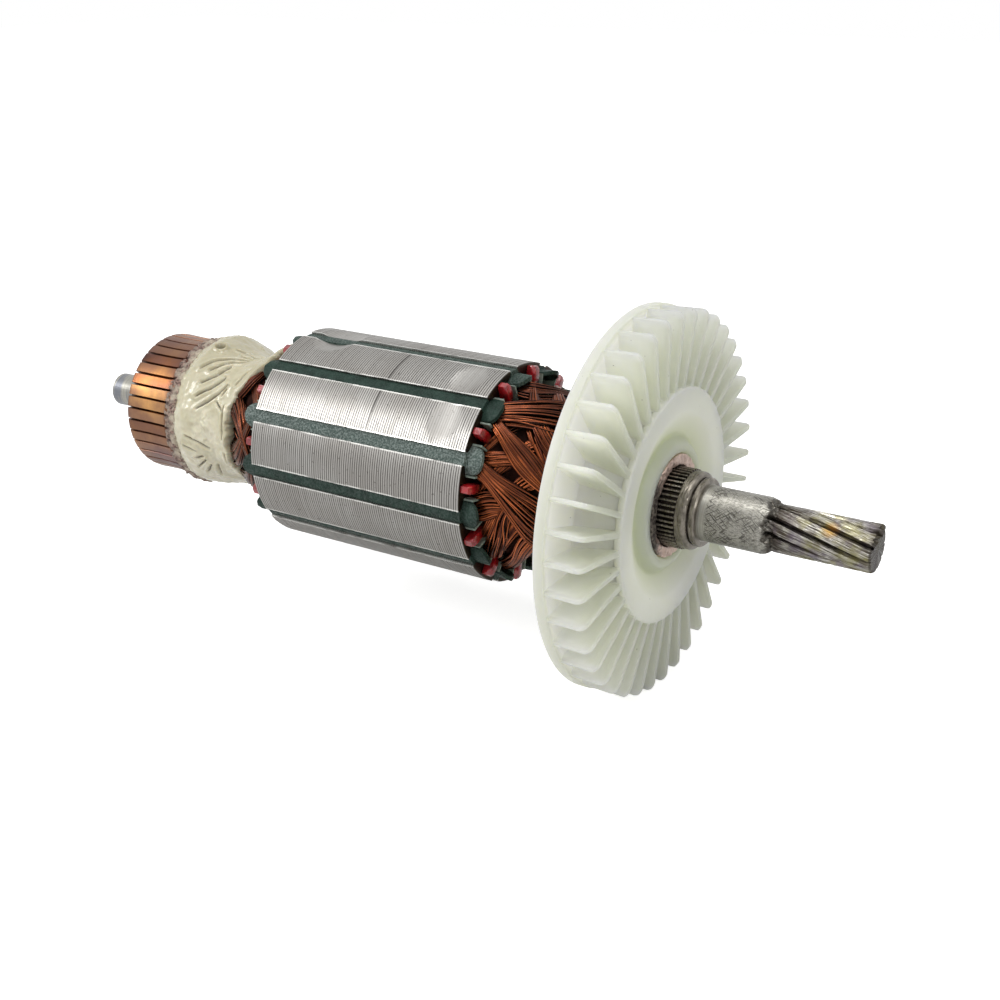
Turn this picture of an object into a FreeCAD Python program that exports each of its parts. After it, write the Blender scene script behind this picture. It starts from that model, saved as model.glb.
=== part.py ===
import FreeCAD, Part
import math
import os
import re

import Sketcher

# Motor armature of a mains power tool, in millimetres.
# X runs along the shaft, from the commutator towards the pinion, and Z is up.
# The origin is on the shaft axis in the middle of the drive end journal.

SIZES = {
    # Shaft, from the commutator end to the pinion
    "shaft_radius": 5.2,
    "journal_radius": 5.0,
    "stub_radius": 3.5,
    "stub_length": 15.9,
    "stub_chamfer": 1.0,
    "seat_radius": 4.5,
    "journal_length": 12.0,
    "shoulder_length": 0.8,
    "pinion_length": 18.6,
    "pinion_tip_radius": 4.2,
    "pinion_root_radius": 3.1,
    "pinion_chamfer": 0.6,
    "pinion_teeth": 9,
    "pinion_phase": 36.3,
    "helix_angle": 14.8,
    # Core
    "fan_gap": 23.8,
    "core_radius": 21.0,
    "core_length": 47.8,
    "slot_count": 12,
    "slot_phase": 5.75,
    "slot_opening": 2.46,
    "tip_thickness": 1.0,
    "tooth_width": 3.6,
    "slot_shoulder_radius": 18.9,
    "slot_floor_radius": 10.6,
    "sleeve_wall": 1.5,
    "fit": 0.05,
    # Balancing cuts across the teeth
    "cutter_radius": 14.0,
    "hollow_turn_a": 94.0,
    "hollow_shift_a": 16.2,
    "hollow_depth_a": 0.9,
    "hollow_turn_b": 111.0,
    "hollow_turn_c": 139.0,
    "hollow_shift_b": 17.8,
    "hollow_depth_b": 0.45,
    # Slot liners and closures
    "liner_wall": 0.3,
    "liner_cuff": 1.9,
    "closure_width": 4.8,
    "closure_wall": 0.75,
    "closure_crown": 0.8,
    "tongue_round": 1.8,
    "closure_overhang": 3.3,
    "closure_recess": 0.4,
    # End insulators
    "star_thickness": 2.0,
    "star_arm_width": 2.2,
    "star_arm_radius": 19.7,
    "star_ring_radius": 9.6,
    # Coils
    "coil_span": 5,
    "coil_split_radius": 14.75,
    "coil_gap": 0.3,
    "coil_exit_radius": 18.5,
    "coil_floor_radius": 11.3,
    "coil_start": 2.3,
    "coil_spread": 1.8,
    "coil_half_angle": 13.8,
    "fan_end_reach": 18.0,
    "fan_end_nose_radius": 10.8,
    "lead_end_reach": 15.2,
    "lead_end_nose_radius": 13.2,
    "nose_thickness": 1.4,
    # Commutator
    "lead_gap": 25.5,
    "bar_count": 36,
    "bar_phase": 5.53,
    "bar_radius": 14.6,
    "bar_length": 11.2,
    "bar_foot_radius": 9.9,
    "bar_neck_radius": 11.4,
    "bar_lip_radius": 12.6,
    "bar_slot_angle": 2.1,
    "bar_front_chamfer": 0.5,
    "mica_recess": 0.8,
    "riser_length": 3.1,
    "riser_radius": 15.5,
    "hub_nose": 0.8,
    # Resin cone over the leads
    "cone_crown_radius": 16.0,
    "cone_rear_radius": 12.7,
    "cone_shoulder": 0.2,
    # Fan
    "fan_station": -20.7,
    "fan_ring_wall": 1.5,
    "fan_ring_radius": 34.7,
    "fan_ring_bore_radius": 25.2,
    "fan_depth": 8.6,
    "fan_disc_wall": 1.5,
    "fan_disc_radius": 21.4,
    "fan_dish_radius": 17.0,
    "fan_boss_radius": 11.4,
    "fan_boss_recess": 0.9,
    "fan_boss_tail": 3.2,
    "blade_count": 40,
    "blade_phase": 8.5,
    "blade_wall": 1.1,
    "blade_corner_radius": 35.0,
    "blade_corner_drop": 0.7,
    "blade_lean": 6.7,
    # Fan insert and knurled sleeve
    "insert_radius": 9.4,
    "insert_bore_radius": 7.4,
    "insert_chamfer": 0.5,
    "knurl_radius": 7.3,
    "knurl_count": 48,
    "knurl_depth": 0.5,
    "knurl_end": -9.3,
    "collar_radius": 7.0,
    "collar_face": -6.0,
    "collar_round": 0.6,
    "collar_lip_length": 1.3,
    "collar_lip_radius": 6.2,
}

doc = FreeCAD.newDocument("MotorArmature")
sheet = doc.addObject("Spreadsheet::Sheet", "Sizes")
for row, (name, number) in enumerate(SIZES.items(), start=1):
    sheet.set(f"A{row}", name)
    sheet.set(f"B{row}", str(number))
    sheet.setAlias(f"B{row}", name)
doc.recompute()

AXIS = FreeCAD.Vector(1, 0, 0)
nodes = []


def bound(text):
    """Turn a formula on size names into an expression on the sheet."""
    def from_sheet(match):
        word = match.group(0)
        return f"Sizes.{word}" if word in SIZES else word
    return re.sub(r"[a-z_]+\w*", from_sheet, text)


def value(text):
    """The present number of a formula on size names."""
    return float(sheet.evalExpression(bound(text)))


def bind(thing, name, text):
    thing.setExpression(name, bound(text))


def place(thing, station="0", turn="0"):
    """Put a sub-part at its station along the shaft, turned about it."""
    where = FreeCAD.Vector(value(station), 0, 0)
    thing.Placement = FreeCAD.Placement(where, FreeCAD.Rotation(AXIS, value(turn)))
    bind(thing, "Placement.Base.x", station)
    bind(thing, "Placement.Rotation.Angle", turn)


def new_body(label, station="0", turn="0"):
    body = doc.addObject("PartDesign::Body", label)
    body.Label = label
    place(body, station, turn)
    nodes.append(body)
    return body


def new_sketch(body, role, name, offset="0"):
    """An empty sketch on one of the body's own planes."""
    sketch = body.newObject("Sketcher::SketchObject", name)
    plane = next(f for f in body.Origin.OriginFeatures if f.Role == role)
    sketch.AttachmentSupport = [(plane, "")]
    sketch.MapMode = "FlatFace"
    sketch.AttachmentOffset = FreeCAD.Placement(
        FreeCAD.Vector(0, 0, value(offset)), FreeCAD.Rotation())
    bind(sketch, "AttachmentOffset.Base.z", offset)
    return sketch


def outline(sketch, corners):
    """Close a line through the corners, each held by the sheet.

    A corner is (across, up) or (across, up, radius), where the radius bends
    the stretch to the next corner, and a minus sign bends it the other way.
    """
    first = sketch.GeometryCount
    spots = [FreeCAD.Vector(value(c[0]), value(c[1]), 0) for c in corners]
    for number, corner in enumerate(corners):
        here = spots[number]
        there = spots[(number + 1) % len(spots)]
        if len(corner) == 2:
            sketch.addGeometry(Part.LineSegment(here, there))
            continue
        radius = value(corner[2])
        half = (there - here).Length / 2
        rise = abs(radius) - math.sqrt(max(radius ** 2 - half ** 2, 0))
        side = FreeCAD.Vector(0, 0, 1).cross(there - here).normalize()
        middle = (here + there) / 2 - side * math.copysign(rise, radius)
        sketch.addGeometry(Part.Arc(here, middle, there))
    for number, corner in enumerate(corners):
        edge = first + number
        following = first + (number + 1) % len(corners)
        start, end = joints(sketch, edge, spots[number])
        nearer = joints(sketch, following, spots[(number + 1) % len(spots)])[0]
        sketch.addConstraint(Sketcher.Constraint("Coincident", edge, end, following, nearer))
        for kind, text, now in (("DistanceX", corner[0], spots[number].x),
                                ("DistanceY", corner[1], spots[number].y)):
            index = sketch.addConstraint(Sketcher.Constraint(kind, edge, start, now))
            bind(sketch, f"Constraints[{index}]", text)
        if len(corner) == 3:
            index = sketch.addConstraint(
                Sketcher.Constraint("Radius", edge, abs(value(corner[2]))))
            bind(sketch, f"Constraints[{index}]", f"abs({corner[2]})")


def joints(sketch, edge, start):
    """Which end of an edge lies at its start, as (start end, far end)."""
    gap = (sketch.getPoint(edge, 1) - start).Length
    return (1, 2) if gap < 1e-6 else (2, 1)


def circle(sketch, radius):
    index = sketch.addGeometry(
        Part.Circle(FreeCAD.Vector(), FreeCAD.Vector(0, 0, 1), value(radius)))
    sketch.addConstraint(Sketcher.Constraint("Coincident", index, 3, -1, 1))
    number = sketch.addConstraint(Sketcher.Constraint("Radius", index, value(radius)))
    bind(sketch, f"Constraints[{number}]", radius)


def turned(body, name, corners, kind="Revolution"):
    """A profile in (along, out) turned about the shaft axis."""
    sketch = new_sketch(body, "XY_Plane", name + "_profile")
    outline(sketch, corners)
    feature = body.newObject("PartDesign::" + kind, name)
    feature.Profile = sketch
    feature.ReferenceAxis = (sketch, ["H_Axis"])
    feature.Angle = 360
    doc.recompute()
    return feature


def drawn_along(body, name, sketch, length, kind="Pad"):
    """A section in the YZ plane carried along the shaft."""
    feature = body.newObject("PartDesign::" + kind, name)
    feature.Profile = sketch
    feature.Length = value(length)
    bind(feature, "Length", length)
    feature.Reversed = kind == "Pocket"
    doc.recompute()
    return feature


def around(body, feature, count):
    """Repeat a feature about the shaft axis."""
    pattern = body.newObject("PartDesign::PolarPattern", feature.Name + "_ring")
    pattern.Originals = [feature]
    axis = next(f for f in body.Origin.OriginFeatures if f.Role == "X_Axis")
    pattern.Axis = (axis, [""])
    pattern.Angle = 360
    pattern.Occurrences = int(value(count))
    bind(pattern, "Occurrences", count)
    body.Tip = pattern
    doc.recompute()
    return pattern


def solid_node(label, shape, station="0", turn="0"):
    """A sub-part whose form is worked out from the sheet's sizes."""
    feature = doc.addObject("Part::Feature", label)
    feature.Label = label
    feature.Shape = shape
    place(feature, station, turn)
    nodes.append(feature)
    return feature


def polar(radius, degrees, along=0.0):
    angle = math.radians(degrees)
    return FreeCAD.Vector(along, radius * math.cos(angle), radius * math.sin(angle))


# Places along the shaft that several sub-parts share, worked out from the drive end
JOURNAL_END = "journal_length / 2"
STACK_END = "(fan_station - fan_gap)"
STACK_MIDDLE = f"({STACK_END} - core_length / 2)"
STACK_START = f"({STACK_END} - core_length)"
BARS_END = f"({STACK_START} - lead_gap)"
BARS_START = f"({BARS_END} - bar_length - riser_length)"
LEAD_END_FACE = f"({STACK_START} - lead_end_reach)"
SLOT_PITCH = "360 / slot_count"


# Shaft: one turned bar with the pinion cut on its end
def pinion_section():
    """Closed wire of the toothed section, tooth flanks on an involute."""
    teeth = int(value("pinion_teeth"))
    tip = value("pinion_tip_radius")
    root = value("pinion_root_radius")
    base = root * 1.04
    pitch_radius = (tip + root) / 2
    half_tooth = math.pi / teeth * 0.5
    steps = 4

    def involute(radius):
        if radius <= base:
            return 0.0
        roll = math.sqrt((radius / base) ** 2 - 1)
        return roll - math.atan(roll)

    radii = [root + (tip - root) * n / (steps - 1) for n in range(steps)]
    offset = half_tooth + involute(pitch_radius)
    edges = []
    for tooth in range(teeth):
        middle = 2 * math.pi * tooth / teeth
        left = [(r, middle - offset + involute(r)) for r in radii]
        right = [(r, middle + offset - involute(r)) for r in reversed(radii)]
        next_root = (root, middle + 2 * math.pi / teeth - offset)
        for flank in (left, right):
            curve = Part.BSplineCurve()
            curve.interpolate([polar(r, math.degrees(a)) for r, a in flank])
            edges.append(curve.toShape())
        crest = Part.Arc(*[polar(tip, math.degrees(a))
                           for a in (left[-1][1], middle, right[0][1])])
        valley_ends = (right[-1][1], next_root[1])
        valley = Part.Arc(*[polar(root, math.degrees(a)) for a in
                            (valley_ends[0], sum(valley_ends) / 2, valley_ends[1])])
        edges.insert(len(edges) - 1, crest.toShape())
        edges.append(valley.toShape())
    return Part.Wire(edges)


def pinion_shape():
    """The toothed section carried along the axis while it turns."""
    length = value("pinion_length")
    lead = 2 * math.pi * value("pinion_tip_radius") / math.tan(math.radians(value("helix_angle")))
    spine = Part.Wire(Part.makeLine(FreeCAD.Vector(), FreeCAD.Vector(length, 0, 0)))
    guide = Part.makeHelix(lead, length, value("pinion_tip_radius"))
    guide.Placement = FreeCAD.Placement(FreeCAD.Vector(), FreeCAD.Rotation(
        FreeCAD.Vector(0, 1, 0), 90))
    sweep = Part.BRepOffsetAPI.MakePipeShell(spine)
    sweep.setAuxiliarySpine(Part.Wire(guide.Edges), True, 0)
    sweep.add(pinion_section())
    sweep.build()
    sweep.makeSolid()
    toothed = sweep.shape()
    tip = value("pinion_tip_radius")
    chamfer = value("pinion_chamfer")
    blank = Part.makeCylinder(tip + 1, length - chamfer, FreeCAD.Vector(), AXIS)
    cone = Part.makeCone(tip, tip - chamfer, chamfer, FreeCAD.Vector(length - chamfer, 0, 0), AXIS)
    return toothed.common(blank.fuse(cone))


turned_shaft = doc.addObject("PartDesign::Body", "turned_shaft")
SHAFT_TIP = f"({BARS_START} - hub_nose - stub_length)"
place(turned_shaft, SHAFT_TIP)
turned(turned_shaft, "shaft_bar", [
    ("0", "0"),
    ("0", "stub_radius - stub_chamfer"),
    ("stub_chamfer", "stub_radius"),
    ("stub_length", "stub_radius"),
    ("stub_length", "seat_radius"),
    (f"{BARS_END} - {SHAFT_TIP}", "seat_radius"),
    (f"{BARS_END} - {SHAFT_TIP}", "shaft_radius"),
    (f"collar_face - {SHAFT_TIP}", "shaft_radius"),
    (f"collar_face - {SHAFT_TIP}", "journal_radius"),
    (f"{JOURNAL_END} - {SHAFT_TIP}", "journal_radius"),
    (f"{JOURNAL_END} + shoulder_length - {SHAFT_TIP}", "pinion_tip_radius"),
    (f"{JOURNAL_END} + shoulder_length - {SHAFT_TIP}", "0"),
])
pinion = doc.addObject("Part::Feature", "pinion")
pinion.Shape = pinion_shape()
place(pinion, f"{JOURNAL_END} + shoulder_length", "pinion_phase")
shaft = doc.addObject("Part::Fuse", "shaft")
shaft.Label = "shaft"
shaft.Base = turned_shaft
shaft.Tool = pinion
nodes.append(shaft)

# Insulating sleeve between the shaft and the core
shaft_insulation = new_body("shaft_insulation", f"{BARS_END} + fit")
INSULATION_LENGTH = f"fan_station - fan_boss_tail - fit - ({BARS_END} + fit)"
turned(shaft_insulation, "insulation_tube", [
    ("0", "shaft_radius + fit"),
    ("0", "shaft_radius + sleeve_wall"),
    (INSULATION_LENGTH, "shaft_radius + sleeve_wall"),
    (INSULATION_LENGTH, "shaft_radius + fit"),
])


# Slots: the same outline serves the core, the liners and the wires in them
def slot_half_width(radius, inset="0"):
    return f"({radius}) * sin(180 / slot_count) - tooth_width / 2 - ({inset})"


def slot_corners(inset, mouth):
    """Slot outline, radial distance first, from the floor to under the tips."""
    floor = f"slot_floor_radius + ({inset})"
    roof = f"slot_shoulder_radius - ({inset})"
    low = slot_half_width(floor, inset)
    high = slot_half_width(roof, inset)
    corners = [(floor, f"-({low})"), (roof, f"-({high})"), *mouth(roof, high),
               (roof, high), (floor, low, f"{low} + 0.001")]
    return corners


def open_mouth(roof, high):
    rim = "core_radius - tip_thickness"
    half = "slot_opening / 2"
    return [(rim, f"-{half}"), ("core_radius + 1", f"-{half}"),
            ("core_radius + 1", half), (rim, half)]


stack_body = doc.addObject("PartDesign::Body", "punched_stack")
place(stack_body, STACK_START, "slot_phase")
stack_sketch = new_sketch(stack_body, "YZ_Plane", "stack_section")
circle(stack_sketch, "core_radius")
circle(stack_sketch, "shaft_radius + sleeve_wall + fit")
drawn_along(stack_body, "stack_ring", stack_sketch, "core_length")
slot_sketch = new_sketch(stack_body, "YZ_Plane", "slot_section")
outline(slot_sketch, slot_corners("0", open_mouth))
before = stack_body.Shape.Volume
slot_cut = drawn_along(stack_body, "slot_cut", slot_sketch, "core_length", "Pocket")
assert stack_body.Shape.Volume < before
around(stack_body, slot_cut, "slot_count")


# Core: the stack of punched sheets, with the shallow cuts that balance it
def milled_hollow(name, turn, station, depth, radius):
    """A round cutter across the core, its axis square to the shaft."""
    cutter = doc.addObject("Part::Cylinder", name)
    cutter.Radius = value(radius)
    bind(cutter, "Radius", radius)
    cutter.Height = value(CUTTER_WIDTH)
    bind(cutter, "Height", CUTTER_WIDTH)
    height = f"core_radius + {radius} - {depth}"
    angle = math.radians(value(turn))
    sideways = FreeCAD.Vector(0, -math.sin(angle), math.cos(angle))
    centre = polar(value(height), value(turn), value(station))
    cutter.Placement = FreeCAD.Placement(
        centre - sideways * value(CUTTER_WIDTH) / 2,
        FreeCAD.Rotation(FreeCAD.Vector(0, 0, 1), sideways))
    return cutter


CUTTER_WIDTH = "core_radius"
hollows = [
    milled_hollow("lead_end_hollow", "hollow_turn_a", f"{STACK_MIDDLE} - hollow_shift_a",
                  "hollow_depth_a", "cutter_radius"),
    milled_hollow("fan_end_hollow_a", "hollow_turn_b", f"{STACK_MIDDLE} + hollow_shift_b",
                  "hollow_depth_b", "cutter_radius"),
    milled_hollow("fan_end_hollow_b", "hollow_turn_c", f"{STACK_MIDDLE} + hollow_shift_b",
                  "hollow_depth_b", "cutter_radius"),
]
cutters = doc.addObject("Part::MultiFuse", "balance_cutters")
cutters.Shapes = hollows
stack = doc.addObject("Part::Cut", "lamination_stack")
stack.Label = "lamination_stack"
stack.Base = stack_body
stack.Tool = cutters
nodes.append(stack)


# Slot liners: folded sheet along the floor and flanks, with a cuff at each end
def closed_mouth(roof, high):
    return []


def liner_corners():
    """The folded sheet: in along one flank, round the floor and back out."""
    low_out, high_out, high_far, low_far = slot_corners("fit", closed_mouth)
    low_in, high_in, far_in, floor_in = slot_corners("fit + liner_wall", closed_mouth)
    roof = high_out[0]
    return [high_out, (*low_out, f"-({low_far[2]})"), low_far[:2], high_far,
            (roof, far_in[1]), floor_in, low_in, (roof, high_in[1])]


for slot in range(int(value("slot_count"))):
    turn = f"slot_phase + {slot} * {SLOT_PITCH}"
    liner = new_body(f"slot_liner_{slot + 1:02d}", f"{STACK_START} - liner_cuff", turn)
    section = new_sketch(liner, "YZ_Plane", "liner_section")
    outline(section, liner_corners())
    drawn_along(liner, "liner_fold", section, "core_length + 2 * liner_cuff")


# Slot closures: a rib fills each mouth and a crowned tongue lies under the tips
CLOSURE_LENGTH = "core_length + 2 * closure_overhang"
TONGUE_ROOF = "core_radius - tip_thickness - 2 * fit"
RIB_ROOF = "core_radius - closure_recess"


def closure_corners():
    rib = "slot_opening / 2 - fit"
    edge = "closure_width / 2"
    low = f"{TONGUE_ROOF} - closure_crown"
    return [(RIB_ROOF, f"-({rib})"), (RIB_ROOF, rib), (TONGUE_ROOF, rib), (low, edge),
            (f"{low} - closure_wall", edge), (f"{TONGUE_ROOF} - closure_wall", "0"),
            (f"{low} - closure_wall", f"-{edge}"), (low, f"-{edge}"),
            (TONGUE_ROOF, f"-({rib})")]


for slot in range(int(value("slot_count"))):
    turn = f"slot_phase + {slot} * {SLOT_PITCH}"
    closure = new_body(f"slot_closure_{slot + 1:02d}", f"{STACK_START} - closure_overhang", turn)
    section = new_sketch(closure, "YZ_Plane", "closure_section")
    outline(section, closure_corners())
    strip = drawn_along(closure, "closure_strip", section, CLOSURE_LENGTH)
    corners = [name for name, edge in
               ((f"Edge{n + 1}", e) for n, e in enumerate(strip.Shape.Edges))
               if abs(edge.tangentAt(edge.FirstParameter).y) > 0.99
               and abs(abs(edge.CenterOfMass.z) - value("closure_width") / 2) < 0.01]
    rounding = closure.newObject("PartDesign::Chamfer", "tongue_ends")
    rounding.Base = (strip, corners)
    rounding.Size = value("tongue_round")
    bind(rounding, "Size", "tongue_round")
    doc.recompute()


# End insulators: a fibre star lies on each end of the core, an arm on each tooth
def end_insulator(label, station):
    body = new_body(label, station, f"slot_phase + {SLOT_PITCH} / 2")
    ring = new_sketch(body, "YZ_Plane", "ring_section")
    circle(ring, "star_ring_radius")
    circle(ring, "shaft_radius + sleeve_wall + fit")
    drawn_along(body, "star_ring", ring, "star_thickness")
    arm = new_sketch(body, "YZ_Plane", "arm_section")
    half = "star_arm_width / 2"
    inner = "star_ring_radius - 1"
    tip_start = f"star_arm_radius - {half}"
    outline(arm, [(inner, f"-{half}"), (tip_start, f"-{half}"),
                  ("star_arm_radius", f"-{half} / 2"), ("star_arm_radius", f"{half} / 2"),
                  (tip_start, half), (inner, half)])
    around(body, drawn_along(body, "star_arm", arm, "star_thickness"), "slot_count")


end_insulator("end_insulator_fan_side", f"{STACK_END} + fit")
end_insulator("end_insulator_lead_side", f"{STACK_START} - fit - star_thickness")


# Coils: each lies high in one slot and low in another, and turns over at a nose
OVERHANG_STEPS = 5
OVERHANG_SHARES = [math.sqrt(n / OVERHANG_STEPS) for n in range(OVERHANG_STEPS + 1)]
LEG_ROOF = f"{TONGUE_ROOF} - closure_crown - closure_wall - coil_gap / 2"


def sector(along, middle, half_angle, inner, outer):
    """Corners of a bundle's section: a ring sector with a crowned top."""
    crown = (outer - inner) * 0.3
    spots = [(inner, 0), (inner, -half_angle), (outer - crown, -half_angle),
             (outer, -half_angle * 0.4), (outer, half_angle * 0.4),
             (outer - crown, half_angle), (inner, half_angle)]
    return [polar(r, middle + a, along) for r, a in spots]


def flat_face(points):
    return Part.Face(Part.makePolygon([*points, points[0]]))


def skinned(sections):
    """A solid through a row of sections, each side made of flat triangles."""
    faces = [flat_face(sections[0]), flat_face(sections[-1])]
    for near, far in zip(sections, sections[1:]):
        for n, corner in enumerate(near):
            following = (n + 1) % len(near)
            faces.append(flat_face([corner, near[following], far[following]]))
            faces.append(flat_face([corner, far[following], far[n]]))
    solid = Part.Solid(Part.makeShell(faces))
    solid.fix(1e-6, 1e-6, 1e-6)
    return solid


def leg_half_width(radius):
    clearance = value("fit + liner_wall + coil_gap / 2")
    return value(slot_half_width(str(radius))) - clearance


def leg(angle, low, high):
    """The wires inside one slot, between two radii."""
    reach = value("core_length / 2 + coil_start")
    corners = [(low, -leg_half_width(low)), (high, -leg_half_width(high)),
               (high, leg_half_width(high)), (low, leg_half_width(low))]
    face = flat_face([FreeCAD.Vector(-reach, r, side) for r, side in corners])
    face.rotate(FreeCAD.Vector(), AXIS, angle)
    return face.extrude(FreeCAD.Vector(2 * reach, 0, 0))


def layer_radii(share, nose_radius):
    """Floor, parting and crown of the two layers at a share of the overhang."""
    exit_radius = value("coil_exit_radius")
    first_floor = value("coil_floor_radius")
    last_floor = value("shaft_radius + sleeve_wall + 2 * coil_gap")
    crown = exit_radius - (exit_radius - nose_radius) * share ** 1.5
    floor = first_floor + (last_floor - first_floor) * share
    parting_share = (value("coil_split_radius") - first_floor) / (exit_radius - first_floor)
    return floor, floor + (crown - floor) * parting_share, crown


def overhang(side, reach, nose_radius):
    """One coil end: two layers that twist opposite ways and meet at the nose."""
    half_span = value(f"coil_span * {SLOT_PITCH}") / 2
    face = value("core_length") / 2
    half_gap = value("coil_gap") / 2
    wide = value("coil_half_angle")
    start = value("coil_start")
    spread_end = value("coil_start + coil_spread")
    floor, split, _ = layer_radii(0.0, nose_radius)
    pieces = []
    for turn, low, high in ((-half_span, split + half_gap, value(LEG_ROOF)),
                            (half_span, floor, split - half_gap)):
        outer_layer = turn < 0
        narrow = math.degrees(leg_half_width(low) / low)
        sections = [sector(side * (face + start), turn, narrow, low, high)]
        for share in OVERHANG_SHARES:
            floor_now, parting, crown = layer_radii(share, nose_radius)
            inner = parting + half_gap if outer_layer else floor_now
            outer = crown if outer_layer else parting - half_gap
            along = spread_end + (reach - spread_end) * share
            sections.append(sector(side * (face + along), turn * (1 - share ** 2),
                                   wide, inner, outer))
        pieces.append(skinned(sections))
    floor_now, _, crown = layer_radii(1.0, nose_radius)
    block = flat_face(sector(side * (face + reach), 0.0, wide, floor_now, crown))
    pieces.append(block.extrude(FreeCAD.Vector(side * value("nose_thickness"), 0, 0)))
    return pieces


def coil_shape():
    half_span = value(f"coil_span * {SLOT_PITCH}") / 2
    half_gap = value("coil_gap / 2")
    split = value("coil_split_radius")
    pieces = [leg(-half_span, split + half_gap, value(LEG_ROOF)),
              leg(half_span, value("coil_floor_radius"), split - half_gap)]
    pieces += overhang(1, value("fan_end_reach - nose_thickness"),
                       value("fan_end_nose_radius"))
    pieces += overhang(-1, value("lead_end_reach - nose_thickness"),
                       value("lead_end_nose_radius"))
    return pieces[0].multiFuse(pieces[1:]).removeSplitter()


one_coil = coil_shape()
for slot in range(int(value("slot_count"))):
    turn = f"slot_phase + ({slot} + coil_span / 2) * {SLOT_PITCH}"
    solid_node(f"coil_{slot + 1:02d}", one_coil.copy(), STACK_MIDDLE, turn)


# Commutator: a moulded hub holds the copper bars by their dovetail feet
FOOT_INSET = "bar_lip_radius - bar_neck_radius"
BAR_WHOLE = "bar_length + riser_length"


def bar_corners(top):
    """Side view of a bar, in (along, out), with the notches that hold it."""
    waist = f"2 * ({FOOT_INSET})"
    return [("0", "bar_lip_radius"), ("0", f"{top} - bar_front_chamfer"),
            ("bar_front_chamfer", top), ("bar_length", top), ("bar_length", "riser_radius"),
            (BAR_WHOLE, "riser_radius"), (BAR_WHOLE, "bar_lip_radius"),
            (f"{BAR_WHOLE} - {waist}", "bar_neck_radius"),
            (f"{BAR_WHOLE} - ({FOOT_INSET})", "bar_foot_radius"),
            (FOOT_INSET, "bar_foot_radius"), (waist, "bar_neck_radius")]


def ring_piece(corners, angle, middle):
    """One copy of a piece that repeats round the commutator."""
    face = flat_face([FreeCAD.Vector(value(x), value(r), 0) for x, r in corners])
    face.rotate(FreeCAD.Vector(), AXIS, middle - angle / 2)
    return face.revolve(FreeCAD.Vector(), AXIS, angle)


def ring_plate(corners, wall, middle):
    """A flat plate that stands on end between two bars."""
    face = flat_face([FreeCAD.Vector(value(x), value(r), -wall / 2) for x, r in corners])
    plate = face.extrude(FreeCAD.Vector(0, 0, wall))
    plate.rotate(FreeCAD.Vector(), AXIS, middle)
    return plate


bar_pitch = value("360 / bar_count")
mica_angle = value("bar_slot_angle")
mica_corners = [("0", "bar_lip_radius"), ("0", "bar_radius - mica_recess"),
                (BAR_WHOLE, "bar_radius - mica_recess"), *bar_corners("bar_radius")[6:]]
bars = [ring_piece(bar_corners("bar_radius"), bar_pitch - mica_angle,
                   (n + 0.5) * bar_pitch) for n in range(int(value("bar_count")))]
mica_wall = 2 * value("bar_foot_radius") * math.tan(math.radians(mica_angle / 2))
mica = [ring_plate(mica_corners, mica_wall - value("fit") / 2, n * bar_pitch)
        for n in range(int(value("bar_count")))]
solid_node("commutator_bars", Part.makeCompound(bars), BARS_START, "bar_phase")
solid_node("commutator_mica", Part.makeCompound(mica), BARS_START, "bar_phase")

commutator_hub = new_body("commutator_hub", BARS_START)
turned(commutator_hub, "hub_moulding", [
    ("-hub_nose", "seat_radius + fit"),
    ("-hub_nose", "bar_lip_radius - fit"),
    ("-fit", "bar_lip_radius - fit"),
    (f"2 * ({FOOT_INSET}) - fit", "bar_neck_radius - fit"),
    (f"{FOOT_INSET} - fit", "bar_foot_radius - fit"),
    (f"{BAR_WHOLE} - ({FOOT_INSET}) + fit", "bar_foot_radius - fit"),
    (f"{BAR_WHOLE} - 2 * ({FOOT_INSET}) + fit", "bar_neck_radius - fit"),
    (BAR_WHOLE, "bar_lip_radius - fit"),
    (BAR_WHOLE, "seat_radius + fit"),
])

# Resin cone over the leads, from the bar risers to the coil noses
lead_cone = new_body("lead_cone", f"{BARS_END} + fit")
CONE_LENGTH = f"{LEAD_END_FACE} - fit - ({BARS_END} + fit)"
turned(lead_cone, "lead_cone_moulding", [
    ("0", "shaft_radius + sleeve_wall + fit"),
    ("0", "riser_radius - cone_shoulder"),
    (f"({CONE_LENGTH}) / 4", "cone_crown_radius"),
    (f"({CONE_LENGTH}) / 2", "(3 * cone_crown_radius + cone_rear_radius) / 4"),
    (CONE_LENGTH, "cone_rear_radius"),
    (CONE_LENGTH, "shaft_radius + sleeve_wall + fit"),
])

# Fan: a disc on a dished hub, an open back ring, and blades that join the two
fan = new_body("fan", "fan_station", "blade_phase")
DISC_BACK = "fan_depth - fan_disc_wall"
BOSS_FACE = "fan_depth - fan_boss_recess"
DISH_FLOOR = "fan_depth - fan_boss_recess - fan_disc_wall"
turned(fan, "hub_and_disc", [
    ("-fan_boss_tail", "insert_radius + fit"),
    (BOSS_FACE, "insert_radius + fit"),
    (BOSS_FACE, "fan_boss_radius"),
    (DISH_FLOOR, "fan_boss_radius + 0.6"),
    ("fan_depth", "fan_dish_radius"),
    ("fan_depth", "fan_disc_radius"),
    (DISC_BACK, "fan_disc_radius"),
    (DISC_BACK, "fan_dish_radius + 0.3"),
    (f"{DISH_FLOOR} - fan_disc_wall - 0.3", "fan_boss_radius + 1.2"),
    ("-fan_boss_tail", "fan_boss_radius"),
])


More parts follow.
